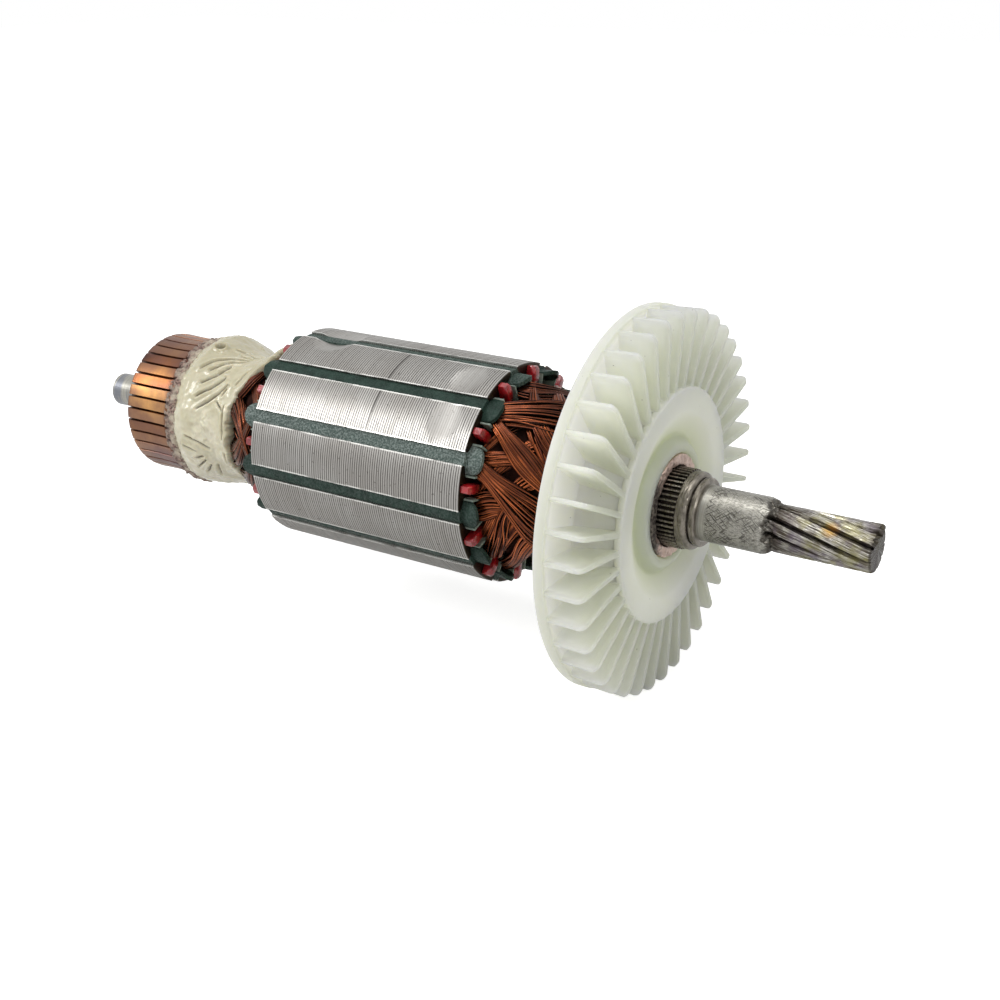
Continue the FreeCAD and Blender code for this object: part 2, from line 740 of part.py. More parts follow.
# The blade's plane passes through its tip corner and leans away from the radius
blade_sketch = new_sketch(fan, "XY_Plane", "blade_profile")
blade_sketch.AttachmentOffset = FreeCAD.Placement(
    FreeCAD.Vector(0, value("blade_corner_radius"), 0),
    FreeCAD.Rotation(AXIS, -value("blade_lean")))
bind(blade_sketch, "AttachmentOffset.Base.y", "blade_corner_radius")
bind(blade_sketch, "AttachmentOffset.Rotation.Angle", "blade_lean")
BLADE_INNER = "fan_disc_radius - blade_corner_radius - fan_disc_wall / 2"
BLADE_FOOT = "fan_ring_bore_radius - blade_corner_radius + fan_ring_wall / 2"
outline(blade_sketch, [
    ("fan_ring_wall / 2", "fan_ring_radius - blade_corner_radius - blade_wall / 4"),
    ("fan_depth - blade_corner_drop", "0"),
    ("fan_depth - fan_disc_wall / 4", BLADE_INNER),
    ("fan_depth - fan_disc_wall / 2", BLADE_INNER),
    ("fan_ring_wall / 2", BLADE_FOOT),
])
blade = drawn_along(fan, "blade", blade_sketch, "blade_wall")
blade.Midplane = True
around(fan, blade, "blade_count")
turned(fan, "back_ring", [
    ("0", "fan_ring_bore_radius"),
    ("0", "fan_ring_radius"),
    ("fan_ring_wall", "fan_ring_radius"),
    ("fan_ring_wall", "fan_ring_bore_radius"),
])

# Metal insert moulded into the fan
INSERT_LENGTH = f"{BOSS_FACE} + fan_boss_tail"
fan_insert = new_body("fan_insert", "fan_station - fan_boss_tail")
turned(fan_insert, "insert_ring", [
    ("0", "insert_bore_radius"),
    ("0", "insert_radius"),
    (INSERT_LENGTH, "insert_radius"),
    (INSERT_LENGTH, "insert_bore_radius + insert_chamfer"),
    (f"{INSERT_LENGTH} - insert_chamfer", "insert_bore_radius"),
])

# Knurled sleeve pressed on the shaft: it carries the fan and ends in a collar
knurled_sleeve = new_body("knurled_sleeve", "fan_station - fan_boss_tail")
KNURL_LENGTH = "knurl_end - (fan_station - fan_boss_tail)"
SLEEVE_LENGTH = "collar_face - (fan_station - fan_boss_tail)"
turned(knurled_sleeve, "sleeve_bar", [
    ("0", "shaft_radius + fit"),
    ("0", "knurl_radius"),
    (KNURL_LENGTH, "knurl_radius"),
    (KNURL_LENGTH, "collar_radius"),
    (f"{SLEEVE_LENGTH} - collar_lip_length - collar_round", "collar_radius"),
    (f"{SLEEVE_LENGTH} - collar_lip_length", "collar_radius - collar_round"),
    (f"{SLEEVE_LENGTH} - collar_lip_length", "collar_lip_radius"),
    (f"{SLEEVE_LENGTH} - collar_round / 2", "collar_lip_radius"),
    (SLEEVE_LENGTH, "collar_lip_radius - collar_round / 2"),
    (SLEEVE_LENGTH, "shaft_radius + fit"),
])
groove_sketch = new_sketch(knurled_sleeve, "YZ_Plane", "groove_section")
GROOVE_HALF = "pi * knurl_radius / knurl_count * 0.8"
outline(groove_sketch, [
    ("knurl_radius - knurl_depth", "0"),
    ("knurl_radius + 0.1", f"({GROOVE_HALF})"),
    ("knurl_radius + 0.1", f"-({GROOVE_HALF})"),
])
before = knurled_sleeve.Shape.Volume
groove = drawn_along(knurled_sleeve, "knurl_groove", groove_sketch, KNURL_LENGTH, "Pocket")
assert knurled_sleeve.Shape.Volume < before
around(knurled_sleeve, groove, "knurl_count")

doc.recompute()
for thing in doc.Objects:
    if "Invalid" in thing.State or "Error" in thing.State:
        raise RuntimeError(f"{thing.Label} failed: {thing.State}")
for node in nodes:
    if node.Shape.isNull() or not node.Shape.isValid():
        raise RuntimeError(f"{node.Label} has no valid shape")

os.makedirs("parts", exist_ok=True)
for node in nodes:
    node.Shape.exportStep(f"parts/{node.Label}.step")
    print(f"{node.Label}: {len(node.Shape.Solids)} solid(s), {node.Shape.Volume:.1f} mm3")
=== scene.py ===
import math

import bmesh
import bpy
import numpy as np
from mathutils import Matrix, Vector, geometry, noise


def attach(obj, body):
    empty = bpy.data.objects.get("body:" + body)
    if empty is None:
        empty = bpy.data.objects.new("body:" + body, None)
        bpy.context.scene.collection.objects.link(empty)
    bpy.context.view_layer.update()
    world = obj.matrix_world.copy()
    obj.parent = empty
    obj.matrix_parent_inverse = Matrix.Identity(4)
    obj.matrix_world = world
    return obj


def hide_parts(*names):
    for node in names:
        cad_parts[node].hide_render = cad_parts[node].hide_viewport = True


# Dress for the motor armature. Sizes are in millimetres in the part's own frame:
# X runs along the shaft from the commutator to the pinion, and angles are turned
# about it in degrees, from +Y towards +Z.

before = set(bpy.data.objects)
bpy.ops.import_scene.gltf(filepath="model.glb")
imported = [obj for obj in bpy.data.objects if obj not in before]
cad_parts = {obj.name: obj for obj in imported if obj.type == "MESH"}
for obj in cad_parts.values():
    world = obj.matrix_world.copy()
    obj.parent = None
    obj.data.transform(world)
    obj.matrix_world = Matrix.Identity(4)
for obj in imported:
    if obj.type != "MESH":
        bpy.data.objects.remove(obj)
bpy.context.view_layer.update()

MM = 0.001
PER_METRE = 1000.0
chance = np.random.default_rng(20)

# Shaft with its pinion, and the sleeve pressed on it
PINION_START = 6.8
PINION_TEETH = 9
PINION_ROOT = 3.2
PINION_TOOTH_HEIGHT = 1.0
PINION_HELIX = 3.6
PINION_PHASE = 36.3
KNURL_RIBS = 48
KNURL_PHASE = 8.5

# Core of punched sheets
CORE_MIDDLE = -68.4
CORE_HALF = 23.9
CORE_RADIUS = 21.0
CORE_JOINT = -66.3
SHEETS = 96
SHEET_PITCH = 2 * CORE_HALF / SHEETS
SHEET_BORE = 6.75
SHEET_BORE_POINTS = 36
SLOTS = 12
SLOT_PITCH = 360 / SLOTS
SLOT_PHASE = 5.75
SLOT_OPENING = 2.46

# Balancing cuts in the core: turn, station and depth of each, and the cutter's radius
BALANCING_CUTS = ((94.0, -84.6, 0.9), (111.0, -50.6, 0.45), (139.0, -50.6, 0.45))
CUTTER_RADIUS = 14.0

# Strips that close the slots: they reach past the core in petals
PALE_STRIP = 5
PETAL_LENGTH = 3.3
PETAL_HALF_WIDTH = 2.4

# Winding: reach past the core and radius at the nose, for the fan side and the lead side
EXIT_RADIUS = 18.5
OVERHANG = {1: (17.0, 10.8), -1: (14.2, 13.2)}
WIRE_RADIUS = 0.245

# Commutator: a bar's length is up to its riser
BARS = 36
BAR_PITCH = 360 / BARS
BAR_PHASE = 5.53
BARS_START = -132.1
BAR_LENGTH = 11.2
BAR_HALF_ANGLE = 4.2
RISER_LIMIT = 16.2

# Resin over the leads
RESIN_START = -117.9

# About how long a degree is round the winding and the resin
DEGREE_LENGTH = 0.27

# Fan
FAN_STATION = -20.7
FAN_DEPTH = 8.6
FAN_RADIUS = 35.0
BLADES = 40
BLADE_PHASE = 8.5
BLADE_LEAN = 6.7


# Node helpers
def feed(tree, socket, source):
    """Join a socket to another one, or set its number, colour or object."""
    if isinstance(source, bpy.types.NodeSocket):
        tree.links.new(source, socket)
    else:
        socket.default_value = source


def add(tree, kind, sockets=None, **settings):
    """A new node with its settings made and its sockets fed."""
    node = tree.nodes.new(kind)
    for name, setting in settings.items():
        setattr(node, name, setting)
    for key, source in (sockets or {}).items():
        feed(tree, node.inputs[key], source)
    return node


def worked(tree, operation, first, second=0.0):
    """The result of one step of arithmetic."""
    return add(tree, "ShaderNodeMath", {0: first, 1: second}, operation=operation).outputs[0]


def times(tree, first, *others):
    """The product of values."""
    for other in others:
        first = worked(tree, "MULTIPLY", first, other)
    return first


def distance(tree, first, second):
    """How far two values lie apart."""
    return worked(tree, "ABSOLUTE", worked(tree, "SUBTRACT", first, second))


def ramped(tree, source, low, high, start=0.0, end=1.0):
    """A value brought from one range to another and held inside it."""
    return add(tree, "ShaderNodeMapRange", {
        "Value": source, "From Min": low, "From Max": high,
        "To Min": start, "To Max": end}).outputs[0]


def between(tree, mask, start, end):
    """A value that goes from start to end as a mask goes from 0 to 1."""
    return ramped(tree, mask, 0.0, 1.0, start, end)


def blended(tree, share, first, second):
    """The first colour where the share is 0 and the second where it is 1."""
    node = add(tree, "ShaderNodeMix", data_type="RGBA", blend_type="MIX")
    feed(tree, node.inputs[0], share)
    feed(tree, node.inputs[6], first)
    feed(tree, node.inputs[7], second)
    return node.outputs[2]


def stained(tree, colour, mask, amount, stain):
    """A colour with some of another one over it where the mask says."""
    return blended(tree, times(tree, mask, amount), colour, stain)


def raised(tree, height, depth, strength=1.0):
    """A bump of a depth in millimetres."""
    return add(tree, "ShaderNodeBump", {
        "Strength": strength, "Distance": depth * MM, "Height": height}).outputs[0]


def place_parts(tree):
    """A point's place in the part's frame, as its three parts in metres."""
    place = add(tree, "ShaderNodeTexCoord").outputs["Object"]
    return add(tree, "ShaderNodeSeparateXYZ", {0: place}).outputs


def new_group(name, inputs, outputs):
    """An empty shader group with named sockets, as (tree, its inputs, its end)."""
    tree = bpy.data.node_groups.new(name, "ShaderNodeTree")
    for label, kind, start in inputs:
        socket = tree.interface.new_socket(label, in_out="INPUT", socket_type="NodeSocket" + kind)
        socket.default_value = start
    for label, kind in outputs:
        tree.interface.new_socket(label, in_out="OUTPUT", socket_type="NodeSocket" + kind)
    return tree, tree.nodes.new("NodeGroupInput").outputs, tree.nodes.new("NodeGroupOutput").inputs


def make_grain():
    """Noise whose spots may be drawn out along the shaft or round it."""
    tree, given, result = new_group("grain", [
        ("Along", "Float", 1.0), ("Round", "Float", 1.0), ("Detail", "Float", 3.0),
        ("Shift", "Float", 0.0), ("Low", "Float", 0.35), ("High", "Float", 0.65)],
        [("Mask", "Float")])
    parts = place_parts(tree)
    along = worked(tree, "ADD", times(tree, parts[0], PER_METRE, given["Along"]), given["Shift"])
    across = times(tree, parts[1], PER_METRE, given["Round"])
    upward = times(tree, parts[2], PER_METRE, given["Round"])
    spot = add(tree, "ShaderNodeCombineXYZ", {0: along, 1: across, 2: upward}).outputs[0]
    clouds = add(tree, "ShaderNodeTexNoise", {"Vector": spot, "Scale": 1.0,
                                              "Detail": given["Detail"]})
    feed(tree, result["Mask"], ramped(tree, clouds.outputs[0], given["Low"], given["High"]))
    return tree


def radius_of(tree, across, upward):
    """How far out a point lies, from its place in the two directions off the shaft."""
    square = worked(tree, "ADD", times(tree, across, across), times(tree, upward, upward))
    return worked(tree, "SQRT", square)


def make_shaft_place():
    """Where a point lies: its place along the shaft and its distance from it."""
    tree, given, result = new_group("place on shaft", [], [("Along", "Float"), ("Out", "Float")])
    parts = place_parts(tree)
    feed(tree, result["Along"], times(tree, parts[0], PER_METRE))
    feed(tree, result["Out"], times(tree, radius_of(tree, parts[1], parts[2]), PER_METRE))
    return tree


def make_scratches():
    """Slanting strokes in both directions round the shaft, as torn by a tool."""
    tree, given, result = new_group("scratches", [
        ("Length", "Float", 2.0), ("Width", "Float", 0.2), ("Slant", "Float", 45.0),
        ("Amount", "Float", 0.3)], [("Mask", "Float")])
    parts = place_parts(tree)
    along = times(tree, parts[0], PER_METRE)
    across = times(tree, parts[1], -PER_METRE)
    upward = times(tree, parts[2], -PER_METRE)
    around = times(tree, worked(tree, "ARCTAN2", upward, across), radius_of(tree, across, upward))
    slant = worked(tree, "RADIANS", given["Slant"])
    level, steep = worked(tree, "COSINE", slant), worked(tree, "SINE", slant)
    limit = worked(tree, "SUBTRACT", 0.74, times(tree, given["Amount"], 0.3))
    masks = []
    for tilt in (1.0, -1.0):
        rise = times(tree, steep, tilt)
        run = worked(tree, "ADD", times(tree, along, level), times(tree, around, rise))
        side = worked(tree, "SUBTRACT", times(tree, around, level), times(tree, along, rise))
        spot = add(tree, "ShaderNodeCombineXYZ", {
            0: worked(tree, "DIVIDE", run, given["Length"]),
            1: worked(tree, "DIVIDE", side, given["Width"]), 2: 5.0 + 3.0 * tilt}).outputs[0]
        strokes = add(tree, "ShaderNodeTexNoise", {"Vector": spot, "Scale": 1.0, "Detail": 1.5})
        masks.append(ramped(tree, strokes.outputs[0], limit, worked(tree, "ADD", limit, 0.04)))
    feed(tree, result["Mask"], worked(tree, "MAXIMUM", masks[0], masks[1]))
    return tree


GRAIN = make_grain()
PLACE = make_shaft_place()
SCRATCHES = make_scratches()


def grain(tree, along, around, low=0.35, high=0.65, detail=3.0, shift=0.0):
    """The mask of the grain group, with so many spots to the millimetre each way."""
    return add(tree, "ShaderNodeGroup", {
        "Along": along, "Round": around, "Low": low, "High": high, "Detail": detail,
        "Shift": shift}, node_tree=GRAIN).outputs[0]


def scratches(tree, length, width, slant, amount):
    """The mask of the scratches group."""
    return add(tree, "ShaderNodeGroup", {
        "Length": length, "Width": width, "Slant": slant, "Amount": amount},
        node_tree=SCRATCHES).outputs[0]


def shaft_place(tree):
    """A point's place along the shaft and its distance from it, in millimetres."""
    node = add(tree, "ShaderNodeGroup", node_tree=PLACE)
    return node.outputs["Along"], node.outputs["Out"]


def side_place(tree):
    """How far a point lies out to the side of the shaft, in millimetres."""
    return times(tree, place_parts(tree)[1], -PER_METRE)


def near(tree, along, off_shaft, reach):
    """A mask round one place, given in millimetres in the part's frame."""
    place = add(tree, "ShaderNodeTexCoord").outputs["Object"]
    spot = add(tree, "ShaderNodeCombineXYZ", {
        0: along * MM, 1: off_shaft[0] * MM, 2: off_shaft[1] * MM}).outputs[0]
    gap = add(tree, "ShaderNodeVectorMath", {0: place, 1: spot}, operation="DISTANCE")
    return ramped(tree, times(tree, gap.outputs["Value"], PER_METRE / reach), 1.0, 0.35)


def tone_of(tree, name="tone"):
    """The number that each repeated shape carries for its own tone."""
    return add(tree, "ShaderNodeAttribute", attribute_name=name).outputs["Fac"]


def new_finish(name, **sockets):
    """A material with plain settings on its shader, as (material, tree, shader)."""
    material = bpy.data.materials.new(name)
    material.use_nodes = True
    tree = material.node_tree
    tree.nodes.clear()
    surface = add(tree, "ShaderNodeBsdfPrincipled")
    for key, setting in sockets.items():
        surface.inputs[key.replace("_", " ")].default_value = setting
    end = add(tree, "ShaderNodeOutputMaterial")
    tree.links.new(surface.outputs[0], end.inputs["Surface"])
    return material, tree, surface.inputs


def set_skin(tree, surface, colour, roughness, normal):
    """Feed the three sockets of a shader that change over every surface here."""
    feed(tree, surface["Base Color"], colour)
    feed(tree, surface["Roughness"], roughness)
    feed(tree, surface["Normal"], normal)


# Finishes
def sheet_seams(tree, along):
    """The dark line between one sheet and the next, and a joint in the stack."""
    step = worked(tree, "DIVIDE", worked(tree, "SUBTRACT", along, CORE_MIDDLE - CORE_HALF),
                  SHEET_PITCH)
    seam = ramped(tree, distance(tree, worked(tree, "FRACT", step), 0.5), 0.20, 0.46)
    smeared = times(tree, tone_of(tree, "milled"), 0.4)
    seam = times(tree, seam, worked(tree, "SUBTRACT", 0.66, smeared))
    joint = ramped(tree, distance(tree, along, CORE_JOINT), 0.30, 0.12)
    joint = times(tree, joint, near(tree, CORE_JOINT, (-10.0, 18.0), 20.0))
    return worked(tree, "MAXIMUM", seam, times(tree, joint, 0.85))


def tooth_edge_highlight(tree, out):
    """A mask of painted highlight along both long edges of each tooth, where the corners catch
    light.
    """
    parts = place_parts(tree)
    turn = worked(tree, "DEGREES", worked(tree, "ARCTAN2", parts[2], parts[1]))
    turn = worked(tree, "DIVIDE", worked(tree, "ADD", turn, 720.0 - SLOT_PHASE), SLOT_PITCH)
    from_tooth = distance(tree, worked(tree, "FRACT", turn), 0.5)
    from_slot = times(tree, worked(tree, "SUBTRACT", 0.5, from_tooth),
                      math.radians(SLOT_PITCH) * CORE_RADIUS)
    edge = times(tree, ramped(tree, from_slot, 1.56, 1.40), ramped(tree, out, 20.6, 20.9))
    return times(tree, edge, grain(tree, 0.3, 2.0, 0.35, 0.5, 3.0, 27.0))


def core_steel():
    """Punched sheet edges: fine lines round the core, smeared where it was milled."""
    material, tree, surface = new_finish("core_steel", Metallic=1.0)
    along, out = shaft_place(tree)
    streak = grain(tree, 3.2, 0.25, 0.35, 0.7, 4.0, 5.0)
    cloud = grain(tree, 0.12, 0.12, 0.35, 0.65, 3.0, 9.0)
    speck = grain(tree, 1.6, 1.6, 0.68, 0.71, 2.0, 14.0)
    colour = blended(tree, tone_of(tree), (0.355, 0.345, 0.325, 1), (0.395, 0.385, 0.365, 1))
    colour = stained(tree, colour, streak, 0.2, (0.47, 0.46, 0.45, 1))
    colour = stained(tree, colour, cloud, 0.35, (0.25, 0.228, 0.205, 1))
    colour = stained(tree, colour, speck, 0.5, (0.06, 0.05, 0.045, 1))
    colour = blended(tree, sheet_seams(tree, along), colour, (0.045, 0.041, 0.038, 1))
    # Painted highlight: the long edges of the teeth are paler, where their corners catch the light.
    colour = stained(tree, colour, tooth_edge_highlight(tree, out), 0.85, (0.80, 0.79, 0.76, 1))
    from_middle = distance(tree, along, CORE_MIDDLE)
    end_face = times(tree, ramped(tree, from_middle, CORE_HALF - 0.12, CORE_HALF - 0.04),
                     ramped(tree, out, 20.95, 20.75))
    colour = blended(tree, end_face, colour, (0.040, 0.026, 0.018, 1))
    set_skin(tree, surface, colour, between(tree, streak, 0.46, 0.36),
             raised(tree, grain(tree, 4.0, 0.05, 0.3, 0.7, 2.0), 0.03, 0.35))
    return material


def green_fibre():
    """Slot closures: smooth dark fibre, crumbly and paler where the surface has lifted."""
    material, tree, surface = new_finish("green_fibre", Specular_IOR_Level=0.16)
    coarse = grain(tree, 0.5, 0.5, 0.35, 0.65, 4.0)
    crumbs = grain(tree, 3.0, 3.0, 0.42, 0.58, 5.0, 3.0)
    pale = tone_of(tree, "pale")
    colour = blended(tree, coarse, (0.005, 0.018, 0.012, 1), (0.017, 0.040, 0.030, 1))
    colour = stained(tree, colour, pale, 0.45, (0.17, 0.22, 0.20, 1))
    colour = stained(tree, colour, crumbs, between(tree, pale, 0.02, 0.62), (0.30, 0.35, 0.33, 1))
    lifted = times(tree, crumbs, between(tree, pale, 0.15, 0.9))
    set_skin(tree, surface, colour, between(tree, crumbs, 0.60, 0.42),
             raised(tree, lifted, 0.16, 0.8))
    return material


def red_varnish():
    """Varnished arms of the end insulators, darker towards the shaft."""
    material, tree, surface = new_finish("red_varnish", Coat_Weight=0.8, Coat_Roughness=0.12)
    blot = grain(tree, 0.8, 0.8, 0.35, 0.65, 3.0)
    fleck = grain(tree, 5.0, 5.0, 0.55, 0.7, 3.0, 2.0)
    colour = blended(tree, blot, (0.16, 0.002, 0.004, 1), (0.42, 0.004, 0.010, 1))
    colour = stained(tree, colour, fleck, 0.3, (0.50, 0.05, 0.06, 1))
    _, out = shaft_place(tree)
    colour = blended(tree, ramped(tree, out, 17.2, 16.2), colour, (0.05, 0.012, 0.008, 1))
    set_skin(tree, surface, colour, between(tree, blot, 0.42, 0.25), raised(tree, blot, 0.15, 0.4))
    return material


def crest_light_mask(tree):
    """A mask for painted light: 1 where the surface faces straight away from the shaft."""
    place = add(tree, "ShaderNodeTexCoord").outputs
    away = add(tree, "ShaderNodeVectorMath", {0: place["Object"], 1: (0.0, 1.0, 1.0)},
               operation="MULTIPLY")
    away = add(tree, "ShaderNodeVectorMath", {0: away.outputs[0]}, operation="NORMALIZE")
    facing = add(tree, "ShaderNodeVectorMath", {0: place["Normal"], 1: away.outputs[0]},
                 operation="DOT_PRODUCT")
    return ramped(tree, facing.outputs["Value"], 0.52, 0.985)


def enamelled_copper():
    """Varnished winding wire: painted highlight along the crest, painted shade nearly black down in
    the gaps.
    """
    material, tree, surface = new_finish("enamelled_copper", Metallic=0.9, Coat_Weight=0.15,
                                         Coat_Roughness=0.10)
    pool = grain(tree, 0.35, 0.35, 0.4, 0.7, 3.0)
    colour = blended(tree, tone_of(tree), (0.080, 0.015, 0.006, 1), (0.64, 0.165, 0.048, 1))
    along, _ = shaft_place(tree)
    lead_side = ramped(tree, along, -80.0, -90.0, 0.0, 0.62)
    top = ramped(tree, place_parts(tree)[2], 1.0 * MM, 15.0 * MM, 0.0, 0.5)
    colour = blended(tree, worked(tree, "MAXIMUM", lead_side, top), colour,
                     (0.030, 0.006, 0.004, 1))
    colour = stained(tree, colour, pool, 0.55, (0.055, 0.011, 0.005, 1))
    # Painted light: bright where the wire faces outwards, painted shade nearly black where it faces
    # into the gaps.
    colour = blended(tree, crest_light_mask(tree), (0.008, 0.002, 0.0015, 1), colour)
    set_skin(tree, surface, colour, between(tree, pool, 0.24, 0.40),
             raised(tree, grain(tree, 1.5, 1.5, 0.3, 0.7), 0.03, 0.3))
    return material


def one_grain(name, spots, dark, light, roughness, bump, **sockets):
    """A finish whose colour, roughness and bump all follow a single grain."""
    material, tree, surface = new_finish(name, **sockets)
    mask = grain(tree, *spots)
    set_skin(tree, surface, blended(tree, mask, dark, light), between(tree, mask, *roughness),
             raised(tree, mask, *bump))
    return material


def wire_shadow():
    """The heap of wires below the ones that show."""
    return one_grain("wire_shadow", (0.9, 0.9, 0.35, 0.65, 4.0), (0.012, 0.004, 0.003, 1),
                     (0.035, 0.011, 0.007, 1), (0.65, 0.85), (0.2, 0.6),
                     Specular_IOR_Level=0.08)


def brown_moulding():
    """Moulded hub of the commutator, and the sleeve between shaft and core."""
    return one_grain("brown_moulding", (1.5, 1.5, 0.4, 0.7, 4.0), (0.030, 0.018, 0.014, 1),
                     (0.085, 0.055, 0.040, 1), (0.45, 0.7), (0.06, 0.5),
                     Specular_IOR_Level=0.4)


def mica_brown():
    """Layered mica between the bars."""
    return one_grain("mica_brown", (1.0, 3.0, 0.35, 0.65, 4.0), (0.020, 0.012, 0.010, 1),
                     (0.075, 0.045, 0.032, 1), (0.5, 0.8), (0.05, 0.5))


def liner_sheet():
    """Fibre sheet folded into the slots."""
    return one_grain("liner_sheet", (0.8, 2.5, 0.35, 0.65, 4.0), (0.16, 0.21, 0.18, 1),
                     (0.30, 0.35, 0.30, 1), (0.5, 0.8), (0.06, 0.5))


def worn_copper():
    """Commutator bars: bright copper in a painted highlight round one spot on the brush track,
    mauve elsewhere, partly heat tint and partly painted shade.
    """
    material, tree, surface = new_finish("worn_copper", Metallic=1.0)
    along, _ = shaft_place(tree)
    tone = tone_of(tree)
    line = grain(tree, 5.0, 0.15, 0.3, 0.7, 4.0)
    blot = grain(tree, 0.30, 0.30, 0.40, 0.62, 4.0, 4.0)
    wide = grain(tree, 0.03, 0.075, 0.44, 0.56, 1.0, 30.0)
    bright = blended(tree, tone, (0.40, 0.15, 0.055, 1), (0.70, 0.40, 0.15, 1))
    colour = stained(tree, bright, line, 0.35, (0.36, 0.165, 0.075, 1))
    # Painted highlight: the bars stay bright copper only round the spot where the light catches
    # them; away from it they turn mauve, partly heat tint and partly painted shade.
    dull = worked(tree, "SUBTRACT", 1.0, near(tree, -126.0, (-12.9, 6.6), 8.5))
    mauve = blended(tree, tone, (0.060, 0.032, 0.030, 1), (0.20, 0.115, 0.10, 1))
    colour = stained(tree, colour, dull, between(tree, wide, 1.0, 0.66), mauve)
    # Painted shade: the bars are darker on their underside, turned away from the light.
    under = times(tree, ramped(tree, side_place(tree), 12.8, 7.0),
                  ramped(tree, place_parts(tree)[2], 0.0, -6.0 * MM))
    colour = stained(tree, colour, under, 0.6, (0.05, 0.028, 0.024, 1))
    colour = stained(tree, colour, blot, 0.5, (0.17, 0.085, 0.072, 1))
    bar_end = BARS_START + BAR_LENGTH
    ends = worked(tree, "MAXIMUM", ramped(tree, along, BARS_START + 0.8, BARS_START + 0.2),
                  ramped(tree, along, bar_end - 0.9, bar_end))
    colour = stained(tree, colour, ends, 0.6, (0.075, 0.035, 0.028, 1))
    set_skin(tree, surface, colour, between(tree, line, 0.30, 0.44), raised(tree, line, 0.03, 0.6))
    return material


def riser_copper():
    """The fused hooks: dull copper under flux and drips of resin."""
    material, tree, surface = new_finish("riser_copper")
    along, _ = shaft_place(tree)
    lump = grain(tree, 0.7, 0.7, 0.38, 0.60, 4.0)
    fleck = grain(tree, 2.2, 2.2, 0.42, 0.58, 4.0, 6.0)
    colour = blended(tree, fleck, (0.075, 0.042, 0.034, 1), (0.30, 0.20, 0.165, 1))
    towards_cone = ramped(tree, along, -119.9, -118.3)
    resin = times(tree, lump, between(tree, towards_cone, 0.35, 1.0))
    colour = blended(tree, resin, colour, (0.50, 0.43, 0.33, 1))
    # Painted shade in the holes and notches of the hooks.
    colour = blended(tree, tone_of(tree, "hollow"), colour, (0.040, 0.024, 0.020, 1))
    feed(tree, surface["Metallic"], ramped(tree, resin, 0.1, 0.6, 0.5, 0.0))
    set_skin(tree, surface, colour, between(tree, fleck, 0.38, 0.62),
             raised(tree, fleck, 0.15, 0.7))
    return material


def cast_resin():
    """Glossy cream resin brushed over the leads, yellower towards the top."""
    material, tree, surface = new_finish("cast_resin", Subsurface_Weight=0.25,
                                         Subsurface_Scale=0.002, Coat_Weight=0.45,
                                         Coat_Roughness=0.10)
    surface["Subsurface Radius"].default_value = (1.0, 0.7, 0.4)
    cloud = grain(tree, 0.25, 0.25, 0.35, 0.65, 4.0)
    stain = grain(tree, 0.7, 0.7, 0.52, 0.74, 4.0, 8.0)
    colour = blended(tree, cloud, (0.57, 0.53, 0.37, 1), (0.72, 0.68, 0.52, 1))
    top = ramped(tree, place_parts(tree)[2], 6.0 * MM, 15.0 * MM, 0.0, 0.85)
    colour = blended(tree, top, colour, (0.42, 0.38, 0.24, 1))
    colour = stained(tree, colour, stain, 0.35, (0.36, 0.31, 0.17, 1))
    # Painted shade in the creases and the pit.
    colour = blended(tree, tone_of(tree, "hollow"), colour, (0.085, 0.062, 0.058, 1))
    set_skin(tree, surface, colour, between(tree, cloud, 0.40, 0.24),
             raised(tree, grain(tree, 1.1, 1.1, 0.3, 0.7, 4.0), 0.08, 0.5))
    return material


def milky_nylon():
    """Unpigmented nylon of the fan: painted shade on the blades' lit fronts and painted light down
    between them, darker at hub and rim.
    """
    material, tree, surface = new_finish("milky_nylon", Subsurface_Weight=1.0,
                                         Subsurface_Scale=0.014, Specular_IOR_Level=0.35)
    surface["Subsurface Radius"].default_value = (1.0, 1.0, 0.7)
    along, out = shaft_place(tree)
    cloud = grain(tree, 0.08, 0.08, 0.3, 0.7, 3.0)
    speck = grain(tree, 1.1, 1.1, 0.76, 0.79, 2.0, 4.0)
    colour = blended(tree, cloud, (0.64, 0.67, 0.53, 1), (0.70, 0.73, 0.60, 1))
    # Painted light: the blades are darker at their lit front edges and paler down towards the back
    # ring, where shade falls, which evens out the shading.
    blade = blended(tree, ramped(tree, along, -13.0, -18.5), (0.53, 0.56, 0.42, 1),
                    (0.96, 0.975, 0.83, 1))
    colour = blended(tree, ramped(tree, out, 21.2, 21.8), colour, blade)
    colour = blended(tree, ramped(tree, out, 33.6, 34.6), colour, (0.60, 0.62, 0.52, 1))
    colour = stained(tree, colour, ramped(tree, out, 17.0, 12.5), 0.85, (0.50, 0.545, 0.37, 1))
    colour = stained(tree, colour, speck, 0.7, (0.10, 0.09, 0.06, 1))
    set_skin(tree, surface, colour, between(tree, cloud, 0.38, 0.50),
             raised(tree, grain(tree, 0.9, 0.9, 0.3, 0.7, 3.0), 0.04, 0.4))
    return material


def insert_brass():
    """The fan's metal insert, pink and bright above and below, dark on the side towards -Y."""
    material, tree, surface = new_finish("insert_brass")
    line = grain(tree, 3.0, 1.2, 0.3, 0.7, 4.0)
    pit = grain(tree, 1.3, 1.3, 0.45, 0.60, 4.0, 12.0)
    # Dark on the side towards -Y, its edge broken up by the pits.
    dark_side = ramped(tree, worked(tree, "ADD", side_place(tree), times(tree, pit, 1.5)), 5.6, 7.4)
    metal = blended(tree, line, (0.42, 0.30, 0.25, 1), (0.62, 0.48, 0.41, 1))
    # The colour of the dark side, mottled by the pits.
    grime = blended(tree, pit, (0.030, 0.022, 0.018, 1), (0.15, 0.13, 0.105, 1))
    feed(tree, surface["Metallic"], between(tree, dark_side, 0.85, 0.4))
    set_skin(tree, surface, blended(tree, dark_side, metal, grime), between(tree, dark_side, 0.38, 0.6),
             raised(tree, pit, 0.15, 0.7))
    return material


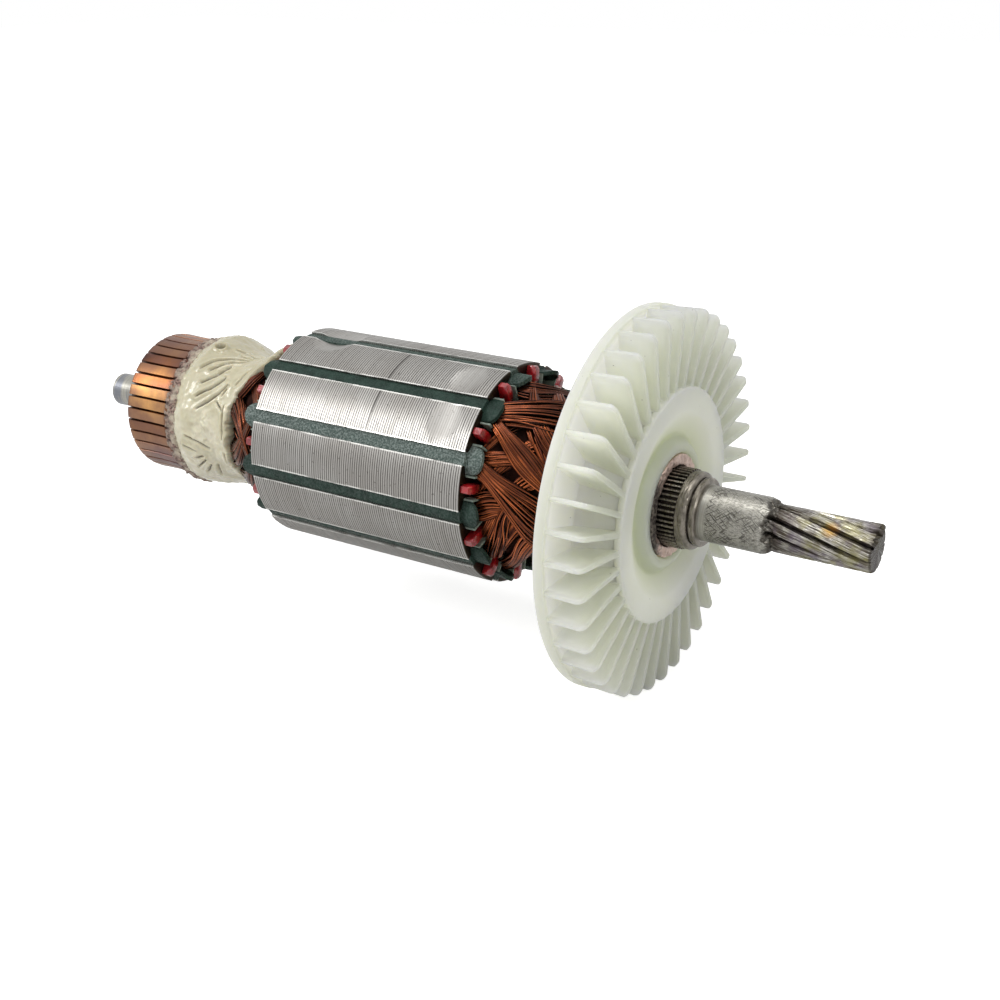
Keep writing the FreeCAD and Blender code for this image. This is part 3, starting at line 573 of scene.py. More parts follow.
def dark_steel():
    """Oiled steel of the knurled sleeve, with painted shade nearly black in its grooves."""
    material, tree, surface = new_finish("dark_steel", Metallic=1.0)
    blot = grain(tree, 0.7, 0.7, 0.35, 0.65, 4.0)
    line = grain(tree, 4.0, 0.6, 0.35, 0.7, 3.0, 2.0)
    colour = blended(tree, blot, (0.095, 0.084, 0.068, 1), (0.20, 0.18, 0.15, 1))
    colour = stained(tree, colour, line, 0.45, (0.34, 0.31, 0.27, 1))
    # Painted shade in the grooves.
    colour = blended(tree, tone_of(tree, "hollow"), colour, (0.024, 0.019, 0.016, 1))
    set_skin(tree, surface, colour, between(tree, line, 0.26, 0.42), raised(tree, line, 0.05, 0.6))
    return material


def journal_marks(tree, along, pinion):
    """A mask of the hatching and the nicks on the ground journal."""
    journal = times(tree, ramped(tree, along, -4.9, -4.3), worked(tree, "SUBTRACT", 1.0, pinion))
    hatched = times(tree, journal, grain(tree, 0.22, 0.22, 0.42, 0.5, 2.0, 21.0))
    hatching = times(tree, scratches(tree, 2.2, 0.24, 38.0, 0.62), hatched)
    nicks = times(tree, scratches(tree, 1.2, 0.15, 24.0, 0.56), journal)
    return worked(tree, "MAXIMUM", hatching, times(tree, nicks, 0.7))


def pinion_colour(tree, along, streak):
    """Polished streaks under grime, ochre and violet stains, a rust spot and a smear."""
    colour = blended(tree, streak, (0.060, 0.050, 0.040, 1), (0.50, 0.48, 0.44, 1))
    grime = grain(tree, 0.9, 0.9, 0.46, 0.60, 4.0, 17.0)
    colour = stained(tree, colour, grime, 0.55, (0.10, 0.082, 0.062, 1))
    ochre = times(tree, grain(tree, 0.30, 0.30, 0.44, 0.60, 3.0, 6.0),
                  ramped(tree, along, 9.0, 14.0))
    colour = stained(tree, colour, ochre, 0.55, (0.30, 0.28, 0.12, 1))
    violet = grain(tree, 0.34, 0.34, 0.50, 0.64, 3.0, 33.0)
    colour = stained(tree, colour, violet, 0.55, (0.16, 0.13, 0.18, 1))
    rust = near(tree, 17.0, (-3.0, 2.9), 1.7)
    colour = stained(tree, colour, rust, 0.7, (0.46, 0.27, 0.07, 1))
    smear = times(tree, ramped(tree, along, 13.0, 8.0),
                  grain(tree, 0.5, 0.5, 0.30, 0.52, 4.0, 51.0))
    return stained(tree, colour, smear, 0.8, (0.060, 0.048, 0.038, 1))


def worn_steel():
    """The ground shaft: hatched journal, torn step, stained and polished pinion."""
    material, tree, surface = new_finish("worn_steel", Metallic=1.0)
    along, _ = shaft_place(tree)
    turning_lines = grain(tree, 6.0, 0.2, 0.3, 0.7, 4.0)
    pinion = ramped(tree, along, PINION_START - 0.6, PINION_START + 0.6)
    land = add(tree, "ShaderNodeAttribute", attribute_name="land").outputs["Vector"]
    streak = add(tree, "ShaderNodeTexNoise", {"Vector": land, "Scale": 1.0, "Detail": 4.0})
    streak = ramped(tree, streak.outputs[0], 0.40, 0.60)
    colour = blended(tree, turning_lines, (0.26, 0.25, 0.22, 1), (0.40, 0.39, 0.35, 1))
    colour = blended(tree, pinion, colour, pinion_colour(tree, along, streak))
    colour = stained(tree, colour, journal_marks(tree, along, pinion), 0.8,
                     (0.050, 0.045, 0.040, 1))
    blued = times(tree, ramped(tree, along, -131.0, -132.0),
                  grain(tree, 1.2, 0.15, 0.42, 0.58, 2.0, 41.0))
    colour = stained(tree, colour, blued, 0.6, (0.13, 0.15, 0.21, 1))
    # Painted shade in the pinion's grooves, and the darker torn step, end face and burr.
    colour = blended(tree, tone_of(tree, "hollow"), colour, (0.040, 0.034, 0.028, 1))
    set_skin(tree, surface, colour, between(tree, streak, 0.50, 0.30),
             raised(tree, times(tree, streak, pinion), 0.08, 0.7))
    return material


# Mesh helpers
def spun(along, out, degrees):
    """Points from places along the shaft, radii and turns."""
    turn = np.radians(degrees)
    return np.stack(np.broadcast_arrays(along, out * np.cos(turn), out * np.sin(turn)), -1)


def grid_faces(rows, columns, first=0, row_loop=False):
    """Faces of a tube of points, row after row, whose last row may join the first."""
    faces = []
    for i in range(rows if row_loop else rows - 1):
        row = first + i * columns
        next_row = first + (i + 1) % rows * columns
        for j in range(columns):
            k = (j + 1) % columns
            faces.append((row + j, row + k, next_row + k, next_row + j))
    return faces


def capped_faces(rows, columns):
    """Faces of a tube of points with a cap over its first row and its last."""
    last = (rows - 1) * columns
    caps = [tuple(range(columns)), tuple(last + n for n in range(columns))]
    return grid_faces(rows, columns) + caps


def put_in_scene(name, mesh, finish):
    """An object of a mesh in one finish, put in the scene."""
    mesh.materials.clear()
    mesh.materials.append(finish)
    piece = bpy.data.objects.new(name, mesh)
    bpy.context.scene.collection.objects.link(piece)
    return piece


def store_values(mesh, label, numbers):
    """A number or a vector for each point of a mesh, which its finish reads by name."""
    numbers = np.asarray(numbers, np.float32)
    if numbers.ndim == 2:
        layer = mesh.attributes.new(label, "FLOAT_VECTOR", "POINT")
        layer.data.foreach_set("vector", numbers.ravel())
    else:
        layer = mesh.attributes.new(label, "FLOAT", "POINT")
        layer.data.foreach_set("value", numbers)


def shade(mesh, sharp):
    """Smooth shading, with edges sharp from an angle in degrees."""
    mesh.shade_smooth()
    mesh.set_sharp_from_angle(angle=math.radians(sharp))


def make_piece(name, points, faces, finish, sharp, values=None):
    """A piece from points in millimetres, its faces turned outwards."""
    mesh = bpy.data.meshes.new(name)
    mesh.from_pydata((np.asarray(points, float).reshape(-1, 3) * MM).tolist(), [], faces)
    for label, numbers in (values or {}).items():
        store_values(mesh, label, numbers)
    shell = bmesh.new()
    shell.from_mesh(mesh)
    bmesh.ops.recalc_face_normals(shell, faces=shell.faces)
    shell.to_mesh(mesh)
    shell.free()
    shade(mesh, sharp)
    return put_in_scene(name, mesh, finish)


def plain_mesh(piece, name):
    """The mesh that a piece's modifiers make of it."""
    bpy.context.view_layer.update()
    seen = piece.evaluated_get(bpy.context.evaluated_depsgraph_get())
    mesh = bpy.data.meshes.new_from_object(seen)
    mesh.name = name
    return mesh


def made_one(name, whole, others, finish, sharp):
    """Closed shells fused into a single skin with nothing left inside."""
    for other in others:
        step = whole.modifiers.new("fuse", "BOOLEAN")
        step.operation = "UNION"
        step.solver = "EXACT"
        step.object = other
    mesh = plain_mesh(whole, name)
    for piece in [whole] + others:
        bpy.data.objects.remove(piece)
    shade(mesh, sharp)
    return put_in_scene(name, mesh, finish)


def joined(name, pieces):
    """Several pieces made into one."""
    whole = bmesh.new()
    for piece in pieces:
        whole.from_mesh(piece.data)
    mesh = bpy.data.meshes.new(name)
    whole.to_mesh(mesh)
    whole.free()
    finish = pieces[0].data.materials[0]
    for piece in pieces:
        bpy.data.objects.remove(piece)
    return put_in_scene(name, mesh, finish)


def turned(profile, columns, shape=None, loop=False):
    """Points and faces of a profile in (along, out) turned about the shaft.

    The profile closes on itself where it is a loop, and otherwise at a pole at each end.
    """
    profile = np.array(profile, float)
    degrees = np.linspace(0, 360, columns, endpoint=False)
    along = np.repeat(profile[:, :1], columns, 1)
    out = np.repeat(profile[:, 1:], columns, 1)
    degrees = np.repeat(degrees[None, :], len(profile), 0)
    if shape:
        along, out, degrees = shape(along, out, degrees)
    points = spun(along, out, degrees).reshape(-1, 3)
    faces = grid_faces(len(profile), columns, row_loop=loop)
    if not loop:
        pole = len(profile) * columns
        points = np.vstack([points, [[along[0].mean(), 0, 0], [along[-1].mean(), 0, 0]]])
        for j in range(columns):
            k = (j + 1) % columns
            faces.append((pole, k, j))
            faces.append((pole + 1, pole - columns + j, pole - columns + k))
    return points, faces


def rounded(corners, radius, steps=3):
    """A closed profile with its corners rounded."""
    corners = [np.array(corner, float) for corner in corners]
    line = []
    for n, corner in enumerate(corners):
        before = corners[n - 1] - corner
        after = corners[(n + 1) % len(corners)] - corner
        cut = min(radius, np.linalg.norm(before) * 0.45, np.linalg.norm(after) * 0.45)
        start = corner + before / np.linalg.norm(before) * cut
        end = corner + after / np.linalg.norm(after) * cut
        for share in np.linspace(0, 1, steps + 1):
            line.append((1 - share) ** 2 * start + 2 * share * (1 - share) * corner
                        + share ** 2 * end)
    return line


def finely(profile, step):
    """A profile with points added so that none are further apart than a step."""
    line = [profile[0]]
    for here, there in zip(profile, profile[1:]):
        here, there = np.array(here, float), np.array(there, float)
        count = max(1, int(np.ceil(np.linalg.norm(there - here) / step)))
        line += [here + (there - here) * n / count for n in range(1, count + 1)]
    return line


def rough(points, size, shift=0.0):
    """Smooth noise between -1 and 1 at each point, its lumps about size wide."""
    flat = np.asarray(points, float).reshape(-1, 3) / size + shift
    return np.array([noise.noise(Vector(spot)) for spot in flat]).reshape(np.shape(points)[:-1])


def over_top(degrees):
    """Turns brought into the range from -90 to 270, which has no break over the top."""
    return (degrees + 90) % 360 - 90


def slot_turn(slot):
    """The turn of the middle of a slot."""
    return SLOT_PHASE + slot * SLOT_PITCH


# Geometry node trees
def new_tree(name, inputs):
    """An empty geometry tree with named inputs, as (tree, its inputs, its end)."""
    tree = bpy.data.node_groups.new(name, "GeometryNodeTree")
    tree.interface.new_socket("Shape", in_out="INPUT", socket_type="NodeSocketGeometry")
    for label, kind, start in inputs:
        socket = tree.interface.new_socket(label, in_out="INPUT", socket_type="NodeSocket" + kind)
        if start is not None:
            socket.default_value = start
    tree.interface.new_socket("Shape", in_out="OUTPUT", socket_type="NodeSocketGeometry")
    return tree, tree.nodes.new("NodeGroupInput").outputs, tree.nodes.new("NodeGroupOutput").inputs


def scattered(tree, seed, low, high):
    """A random number for each copy, between two limits."""
    node = add(tree, "FunctionNodeRandomValue", data_type="FLOAT")
    feed(tree, node.inputs[2], low)
    feed(tree, node.inputs[3], high)
    feed(tree, node.inputs["Seed"], seed)
    return node.outputs[1]


def swayed_turn(tree, seed, reach, turn=0.0):
    """A rotation about the shaft, off its turn by up to a reach either way."""
    sway = scattered(tree, seed, times(tree, reach, -1.0), reach)
    turn = worked(tree, "ADD", turn, sway)
    return add(tree, "ShaderNodeCombineXYZ", {0: worked(tree, "RADIANS", turn)}).outputs[0]


def toned(tree, copies, seed):
    """Copies that each carry a random number for their tone."""
    node = add(tree, "GeometryNodeStoreNamedAttribute", {"Geometry": copies, "Name": "tone"},
               data_type="FLOAT", domain="INSTANCE")
    feed(tree, node.inputs["Value"],
         scattered(tree, worked(tree, "ADD", seed, 9.0), 0.0, 1.0))
    return node.outputs[0]


def finished_tree(tree, shape, finish, result):
    """Every tree ends as a plain mesh in one finish."""
    whole = add(tree, "GeometryNodeRealizeInstances", {0: shape})
    dressed = add(tree, "GeometryNodeSetMaterial", {0: whole.outputs[0], "Material": finish})
    feed(tree, result[0], dressed.outputs[0])


def make_ring_tree():
    """One shape set many times round the shaft, each turned a little by chance."""
    tree, given, result = new_tree("set round shaft", [
        ("Count", "Int", 12), ("Phase", "Float", 0.0), ("Turn Scatter", "Float", 0.0),
        ("Seed", "Int", 0), ("Finish", "Material", None)])
    spots = add(tree, "GeometryNodePoints", {"Count": given["Count"]})
    number = add(tree, "GeometryNodeInputIndex").outputs[0]
    pitch = worked(tree, "DIVIDE", 360.0, given["Count"])
    turn = worked(tree, "ADD", times(tree, number, pitch), given["Phase"])
    copies = add(tree, "GeometryNodeInstanceOnPoints", {
        "Points": spots.outputs[0], "Instance": given["Shape"],
        "Rotation": swayed_turn(tree, given["Seed"], given["Turn Scatter"], turn)})
    finished_tree(tree, toned(tree, copies.outputs[0], given["Seed"]), given["Finish"], result)
    return tree


def make_stack_tree():
    """One punched sheet laid along the shaft, none quite as large as the next."""
    tree, given, result = new_tree("stacked sheets", [
        ("Count", "Int", 96), ("Pitch", "Float", 0.0005), ("Start", "Float", 0.0),
        ("Size Scatter", "Float", 0.001), ("Turn Scatter", "Float", 0.05), ("Seed", "Int", 0),
        ("Finish", "Material", None)])
    spots = add(tree, "GeometryNodePoints", {"Count": given["Count"]})
    number = add(tree, "GeometryNodeInputIndex").outputs[0]
    along = worked(tree, "ADD", times(tree, number, given["Pitch"]), given["Start"])
    laid = add(tree, "GeometryNodeSetPosition", {
        0: spots.outputs[0],
        "Position": add(tree, "ShaderNodeCombineXYZ", {0: along}).outputs[0]})
    smaller = scattered(tree, worked(tree, "ADD", given["Seed"], 4.0),
                        times(tree, given["Size Scatter"], -1.0), 0.0)
    size = worked(tree, "ADD", 1.0, smaller)
    copies = add(tree, "GeometryNodeInstanceOnPoints", {
        "Points": laid.outputs[0], "Instance": given["Shape"],
        "Rotation": swayed_turn(tree, given["Seed"], given["Turn Scatter"]),
        "Scale": add(tree, "ShaderNodeCombineXYZ", {0: 1.0, 1: size, 2: size}).outputs[0]})
    finished_tree(tree, toned(tree, copies.outputs[0], given["Seed"]), given["Finish"], result)
    return tree


def make_wire_tree():
    """Round wire drawn along every line of points."""
    tree, given, result = new_tree("wire on lines", [
        ("Wire Radius", "Float", 0.0003), ("Sides", "Int", 6), ("Finish", "Material", None)])
    lines = add(tree, "GeometryNodeMeshToCurve", {0: given["Shape"]})
    ring = add(tree, "GeometryNodeCurvePrimitiveCircle", {"Resolution": given["Sides"],
                                                          "Radius": given["Wire Radius"]})
    drawn = add(tree, "GeometryNodeCurveToMesh", {
        "Curve": lines.outputs[0], "Profile Curve": ring.outputs[0], "Fill Caps": True})
    smooth = add(tree, "GeometryNodeSetShadeSmooth", {0: drawn.outputs[0]})
    finished_tree(tree, smooth.outputs[0], given["Finish"], result)
    return tree


def grown(shape, tree, name, finish, **inputs):
    """The plain mesh that a tree makes of a shape, put in the scene by name."""
    step = shape.modifiers.new("tree", "NODES")
    step.node_group = tree
    inputs["Finish"] = finish
    for item in tree.interface.items_tree:
        key = item.name.replace(" ", "_")
        if item.in_out == "INPUT" and key in inputs:
            step[item.identifier] = inputs[key]
    mesh = plain_mesh(shape, name)
    shape.modifiers.remove(step)
    bpy.data.objects.remove(shape)
    return put_in_scene(name, mesh, finish)


RING = make_ring_tree()
STACK = make_stack_tree()
WIRE = make_wire_tree()


def rides(piece):
    """Every piece moves with the one body."""
    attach(piece, "root")


def stands_for(piece, slot, *nodes):
    """A piece that shows in place of nodes of the CAD model."""
    rides(piece)
    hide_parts(*nodes)


# Shaft, and what is pressed on it
def pinion_tooth(degrees):
    """How far out the pinion's surface is, as a share from root to tip."""
    flank = np.abs((degrees / (360 / PINION_TEETH)) % 1.0 - 0.5) * 2
    return 1 - np.clip((0.33 - flank) / 0.30, 0, 1)


def worn_shaft():
    """Stub, spindle, hatched journal with its torn step, and the helical pinion."""
    profile = finely([(-148.8, 0.4), (-148.8, 2.5), (-147.8, 3.5), (-132.9, 3.5), (-132.9, 4.5),
                      (-117.8, 4.5), (-117.8, 5.2), (-6.0, 5.2), (-6.0, 5.0)], 4.0)
    profile += finely([(-6.0, 5.0), (5.0, 5.0)], 0.25)[1:]
    profile += finely([(5.0, 5.0), (7.6, 4.3)], 0.1)[1:]
    profile += finely([(7.6, 4.3), (23.9, 4.2)], 0.3)
    profile += finely([(23.9, 4.2), (24.22, 4.0), (24.3, 3.75), (24.3, 0.3)], 0.25)[1:]
    marks = {}

    def shape(along, out, degrees):
        turned_on = np.clip(along - PINION_START, 0, None) * PINION_HELIX + PINION_PHASE
        spot = spun(along, out, degrees + turned_on)
        skin = out > 3.0

        # The round journal gives way to the teeth along a ragged line
        tear = rough(spot, 1.9, 3.0) + 0.4 * rough(spot, 0.7, 1.0)
        cut = np.clip((along - 6.0 - 1.1 * tear) / 0.5, 0, 1) * skin
        share = pinion_tooth(degrees)
        chips = np.clip(rough(spot, 0.8), 0, 1) * (share > 0.6)
        toothed = PINION_ROOT + PINION_TOOTH_HEIGHT * share - 0.16 * chips
        toothed = np.minimum(toothed, np.maximum(out, PINION_ROOT))
        torn = np.clip((along - 5.6 - 1.1 * tear) / 0.25, 0, 1) * np.clip((8.6 - along) / 1.4, 0, 1)
        dent = np.abs(rough(spot, 0.9, 3.0))
        out = np.where(skin, out * (1 - cut) + toothed * cut - 0.50 * dent * torn, out)

        # Metal is rolled over on one side of the end face
        lap = (degrees + turned_on) % 360
        burr = np.clip(1.25 - np.abs(lap - 105) / 55, 0, 1) * (along > 23.6) * (out > 2.6)
        burr = burr * np.clip(0.55 + rough(spot, 0.6, 9.0), 0, 1)
        out = out + 0.10 * burr

        # Painted shade down in the pinion's grooves; the torn step, the end face and the burr are
        # darkened as well.
        groove = np.clip((0.42 - share) * 2.4, 0, 1) * cut * 0.75
        dark_face = np.clip(np.clip((along - 23.9) / 0.2, 0, 1) + burr, 0, 1) * 0.85
        along = along + 1.0 * burr
        marks["hollow"] = np.maximum(np.maximum(groove, torn * np.clip(0.9 - dent, 0, 1)),
                                     dark_face)
        turn = np.radians(degrees)
        marks["land"] = np.stack([along * 0.30, np.cos(turn) * 17, np.sin(turn) * 17], -1)
        return along, out, degrees + turned_on

    points, faces = turned(profile, 216, shape)
    at_poles = [0, 1]
    piece = make_piece("worn_shaft", points, faces, FINISH["worn_steel"], 35, {
        "hollow": np.append(marks["hollow"].ravel(), at_poles),
        "land": np.vstack([marks["land"].reshape(-1, 3), np.zeros((2, 3))])})
    stands_for(piece, "shaft_steel", "shaft")


def brass_insert():
    """The fan's metal insert, its face chewed."""
    profile = finely(rounded([(-23.9, 7.4), (-12.3, 7.4), (-12.3, 9.4), (-23.9, 9.4)], 0.25, 3),
                     0.6)

    def shape(along, out, degrees):
        face = np.clip((along + 13.2) / 0.6, 0, 1)
        bites = np.clip(rough(spun(along, out, degrees), 0.9, 4.0), 0, 1) * 0.5
        return along - bites * face, out, degrees

    piece = make_piece("brass_insert", *turned(profile, 160, shape, loop=True),
                       FINISH["insert_brass"], 50)
    stands_for(piece, "insert_metal", "fan_insert")


def pressed_sleeve():
    """The knurled sleeve, its ribs cut square, and the collar with its thin lip."""
    profile = finely([(-23.9, 5.2), (-23.9, 7.2)], 1.0)
    profile += finely([(-23.9, 7.25), (-9.35, 7.25)], 1.2)[1:]
    profile += finely([(-9.3, 7.0), (-7.95, 7.0), (-7.6, 6.9), (-7.4, 6.65), (-7.3, 6.35),
                       (-7.2, 5.95), (-7.05, 5.95), (-6.95, 6.2), (-6.3, 6.2), (-6.05, 6.0),
                       (-6.0, 5.7), (-6.0, 5.2)], 0.2)
    marks = {}

    def shape(along, out, degrees):
        rib = np.abs(((degrees - KNURL_PHASE) / (360 / KNURL_RIBS)) % 1.0 - 0.5) * 2
        groove = np.clip((0.56 - rib) / 0.10, 0, 1) * (along < -9.32) * (out > 7.1)
        uneven = rough(spun(along, 7.0, degrees), 1.3) * 0.05
        step = np.clip(1 - np.abs(along + 7.12) / 0.14, 0, 1) * (out > 5.5)
        # Painted shade in the knurl's grooves and in the groove at the collar's step.
        marks["hollow"] = np.maximum(groove, step)
        return along, out - 0.55 * groove - np.where(out > 5.8, np.abs(uneven), 0), degrees

    points, faces = turned(profile, 480, shape, loop=True)
    piece = make_piece("pressed_sleeve", points, faces, FINISH["dark_steel"], 35,
                       {"hollow": marks["hollow"].ravel()})
    stands_for(piece, "sleeve_steel", "knurled_sleeve")


# Core
def sheet_outline():
    """Corners of a punched sheet's rim, in (out, turn)."""
    half_mouth = math.degrees(math.asin(SLOT_OPENING / 2 / CORE_RADIUS))
    corners = []
    for slot in range(SLOTS):
        middle = slot_turn(slot)
        for out, side in ((20.0, -1.23), (18.9, -3.09), (10.6, -0.94), (10.6, 0.94), (18.9, 3.09),
                          (20.0, 1.23)):
            corners.append((math.hypot(out, side), middle + math.degrees(math.atan2(side, out))))
        for turn in np.linspace(middle + half_mouth, middle + SLOT_PITCH - half_mouth, 9):
            corners.append((CORE_RADIUS, turn))
    return np.array(corners)


def punched_sheet(thickness):
    """One sheet with its slots and bore, rolled over a little where it was punched."""
    rim = sheet_outline()
    count = len(rim)
    rows = []
    for along, inset in ((0.0, 0.07), (0.07, 0.0), (thickness - 0.02, 0.0), (thickness, 0.04)):
        rows.append(spun(along, rim[:, 0] - inset, rim[:, 1]))
    bore_turns = np.linspace(0, 360, SHEET_BORE_POINTS, endpoint=False)
    bores = [spun(0.0, SHEET_BORE, bore_turns), spun(thickness, SHEET_BORE, bore_turns)]
    points = np.vstack(rows + bores)
    faces = grid_faces(4, count)
    bore_first = 4 * count
    faces += [tuple(reversed(face)) for face in grid_faces(2, SHEET_BORE_POINTS, bore_first)]
    for rim_first, hole_first in ((0, bore_first), (3 * count, bore_first + SHEET_BORE_POINTS)):
        outer = [Vector(points[rim_first + n]) for n in range(count)]
        inner = [Vector(points[hole_first + n]) for n in range(SHEET_BORE_POINTS)]
        for face in geometry.tessellate_polygon([outer, inner]):
            faces.append(tuple(rim_first + n if n < count else hole_first + n - count
                               for n in face))
    return make_piece("punched_sheet", points, faces, FINISH["core_steel"], 30)


def milled_depth(points):
    """How deep the balancing cuts reach at points on the core, in millimetres."""
    depth = np.zeros(len(points))
    for turn, station, deepest in BALANCING_CUTS:
        angle = math.radians(turn)
        height = points[:, 1] * math.cos(angle) + points[:, 2] * math.sin(angle)
        gap = points[:, 0] - station
        dip = np.sqrt(np.clip(CUTTER_RADIUS ** 2 - gap ** 2, 0, None))
        floor = CORE_RADIUS + CUTTER_RADIUS - deepest - dip
        depth = np.maximum(depth, np.where(np.abs(gap) < 10, height - floor, 0))
    return depth


def lamination_stack():
    """The stack of sheets, with its balancing cuts pressed in."""
    piece = grown(punched_sheet(SHEET_PITCH), STACK, "lamination_stack_dress",
                  FINISH["core_steel"], Count=SHEETS, Pitch=SHEET_PITCH * MM,
                  Start=(CORE_MIDDLE - CORE_HALF) * MM, Size_Scatter=0.0016,
                  Turn_Scatter=0.05, Seed=3)
    mesh = piece.data
    places = np.zeros(len(mesh.vertices) * 3)
    mesh.vertices.foreach_get("co", places)
    places = places.reshape(-1, 3) / MM
    out = np.hypot(places[:, 1], places[:, 2])
    depth = milled_depth(places) * (out > 18.0)
    shrink = 1 - np.clip(depth, 0, None) / np.maximum(out, 1)
    places[:, 1:] *= shrink[:, None]
    mesh.vertices.foreach_set("co", (places * MM).ravel())
    store_values(mesh, "milled", np.clip(depth * 8, 0, 1))
    mesh.update()
    stands_for(piece, "lamination_steel", "lamination_stack")


# Slot closures and end insulators
def strip_section(station, curl):
    """A strip's section in (side, out): a rib in the slot's mouth, flat in the petals."""
    beyond = max(0.0, abs(station) - CORE_HALF)
    share = beyond / PETAL_LENGTH
    tip = max(0.0, share - 0.25)
    half = PETAL_HALF_WIDTH * math.sqrt(max(0.0, 1 - tip ** 2 / 0.75 ** 2)) + 0.12
    inside = beyond == 0.0
    upper = []
    for across in (-1.0, -0.8, -0.52, -0.51, -0.3, 0.0, 0.3, 0.51, 0.52, 0.8, 1.0):
        side = across * half
        crown = 19.9 - 0.8 * (side / PETAL_HALF_WIDTH) ** 2 + curl * share
        if inside and abs(across) < 0.515:
            side = across * PETAL_HALF_WIDTH * 0.97
            crown = 20.6 - 0.10 * (across / 0.5) ** 2
        upper.append((side, crown))
    lower = [(side, crown - 0.75) if abs(side) > 1.3 or not inside else (side, 19.1)
             for side, crown in reversed(upper)]
    return upper + lower


def closure_strip(number):
    """A fibre strip in a slot's mouth, with a petal at each end."""
    half_length = CORE_HALF + PETAL_LENGTH
    stations = np.unique(np.concatenate([
        np.linspace(-half_length, -CORE_HALF - 0.1, 12), np.linspace(-CORE_HALF, CORE_HALF, 56),
        np.linspace(CORE_HALF + 0.1, half_length, 12)]))
    wave = chance.uniform(0, 100)
    curl = {-1: chance.uniform(-0.1, 0.25), 1: chance.uniform(-0.1, 0.45)}
    rows = []
    for station in stations:
        section = strip_section(station, curl[1 if station > 0 else -1])
        rows.append([(CORE_MIDDLE + station, out, side) for side, out in section])
    points = np.array(rows)
    lifted = 0.7 if number == PALE_STRIP else 0.35
    bumps = rough(points + wave, 0.7) * 0.08 * lifted + rough(points + wave, 2.4) * 0.10 * lifted
    points[:, :, 1] += bumps
    angle = math.radians(slot_turn(number))
    flat = points.reshape(-1, 3)
    in_slot = np.stack([
        flat[:, 0], flat[:, 1] * math.cos(angle) - flat[:, 2] * math.sin(angle),
        flat[:, 1] * math.sin(angle) + flat[:, 2] * math.cos(angle)], -1)
    return in_slot, capped_faces(len(rows), points.shape[1])


def slot_closures():
    """All the strips as one piece, one of them pale and crumbly."""
    strips = []
    for number in range(SLOTS):
        points, faces = closure_strip(number)
        pale = 0.9 if number == PALE_STRIP else chance.uniform(0.0, 0.25)
        strips.append(make_piece(f"strip_{number}", points, faces, FINISH["green_fibre"], 50,
                                 {"pale": np.full(len(points), pale)}))
    piece = joined("slot_closures", strips)
    stands_for(piece, "closure_fibre", *(f"slot_closure_{n + 1:02d}" for n in range(SLOTS)))


def insulator_arm():
    """One varnished arm of an end insulator, its tip a square block over the tooth."""
    rows = []
    for out, half, front in ((8.0, 0.75, 1.5), (13.0, 0.75, 1.5), (16.9, 0.75, 1.5),
                             (17.3, 0.78, 1.9), (18.8, 0.84, 2.0), (20.0, 0.78, 1.9),
                             (20.5, 0.6, 1.6)):
        corners = rounded([(0.0, -half), (front, -half), (front, half), (0.0, half)], 0.22, 2)
        rows.append([(depth, out, side) for depth, side in corners])
    points = np.array(rows)
    return points.reshape(-1, 3), capped_faces(len(rows), points.shape[1])


def end_insulators():
    """A varnished star on each end face of the core, its arms over the teeth."""
    varnish = FINISH["red_varnish"]
    for label, side in (("fan_side", 1), ("lead_side", -1)):
        face = CORE_MIDDLE + side * (CORE_HALF + 0.05)
        points, faces = insulator_arm()
        points[:, 0] = face + side * points[:, 0]
        arm = make_piece("arm", points, faces, varnish, 50)
        arms = grown(arm, RING, "arms", varnish, Count=SLOTS, Phase=slot_turn(0.5),
                     Turn_Scatter=0.5, Seed=2)
        ring = rounded([(face, 6.8), (face, 9.6), (face + side * 2, 9.6), (face + side * 2, 6.8)],
                       0.3, 2)
        collar = make_piece("collar", *turned(ring, 48, loop=True), varnish, 50)
        piece = joined(f"varnished_star_{label}", [arms, collar])
        stands_for(piece, "insulator_fibre", f"end_insulator_{label}")


# Winding
def overhang_skin(side, along, turn=200.0):
    """How far out the heap of wires reaches at places along the shaft."""
    reach, nose = OVERHANG[side]
    share = np.clip((side * (along - CORE_MIDDLE) - CORE_HALF - 1.2) / (reach - 1.2), 0, 1)
    level = EXIT_RADIUS - (EXIT_RADIUS - nose) * share ** 1.5
    if side < 0:
        top = np.clip(1 - np.abs(over_top(turn) - 80) / 50, 0, 1)
        level = level - 1.6 * top * np.clip(share * 2.5, 0, 1)
    return level


def smoothed_edge(edge, shares):
    """An edge given as (along, turn) at even shares of its length, its corners rounded."""
    edge = np.array(edge, float)
    steps = np.hypot(np.diff(edge[:, 0]), np.diff(edge[:, 1]) * DEGREE_LENGTH)
    way = np.concatenate([[0], np.cumsum(steps)])
    way /= way[-1]
    line = np.stack([np.interp(shares, way, edge[:, n]) for n in (0, 1)], -1)
    for _ in range(3):
        line[1:-1] = (line[:-2] + 2 * line[1:-1] + line[2:]) / 4
    return line


def slow_wave(shares, fewest, most):
    """A sine of chance length and start."""
    return np.sin(shares * chance.uniform(fewest, most) + chance.uniform(0, 6.3))


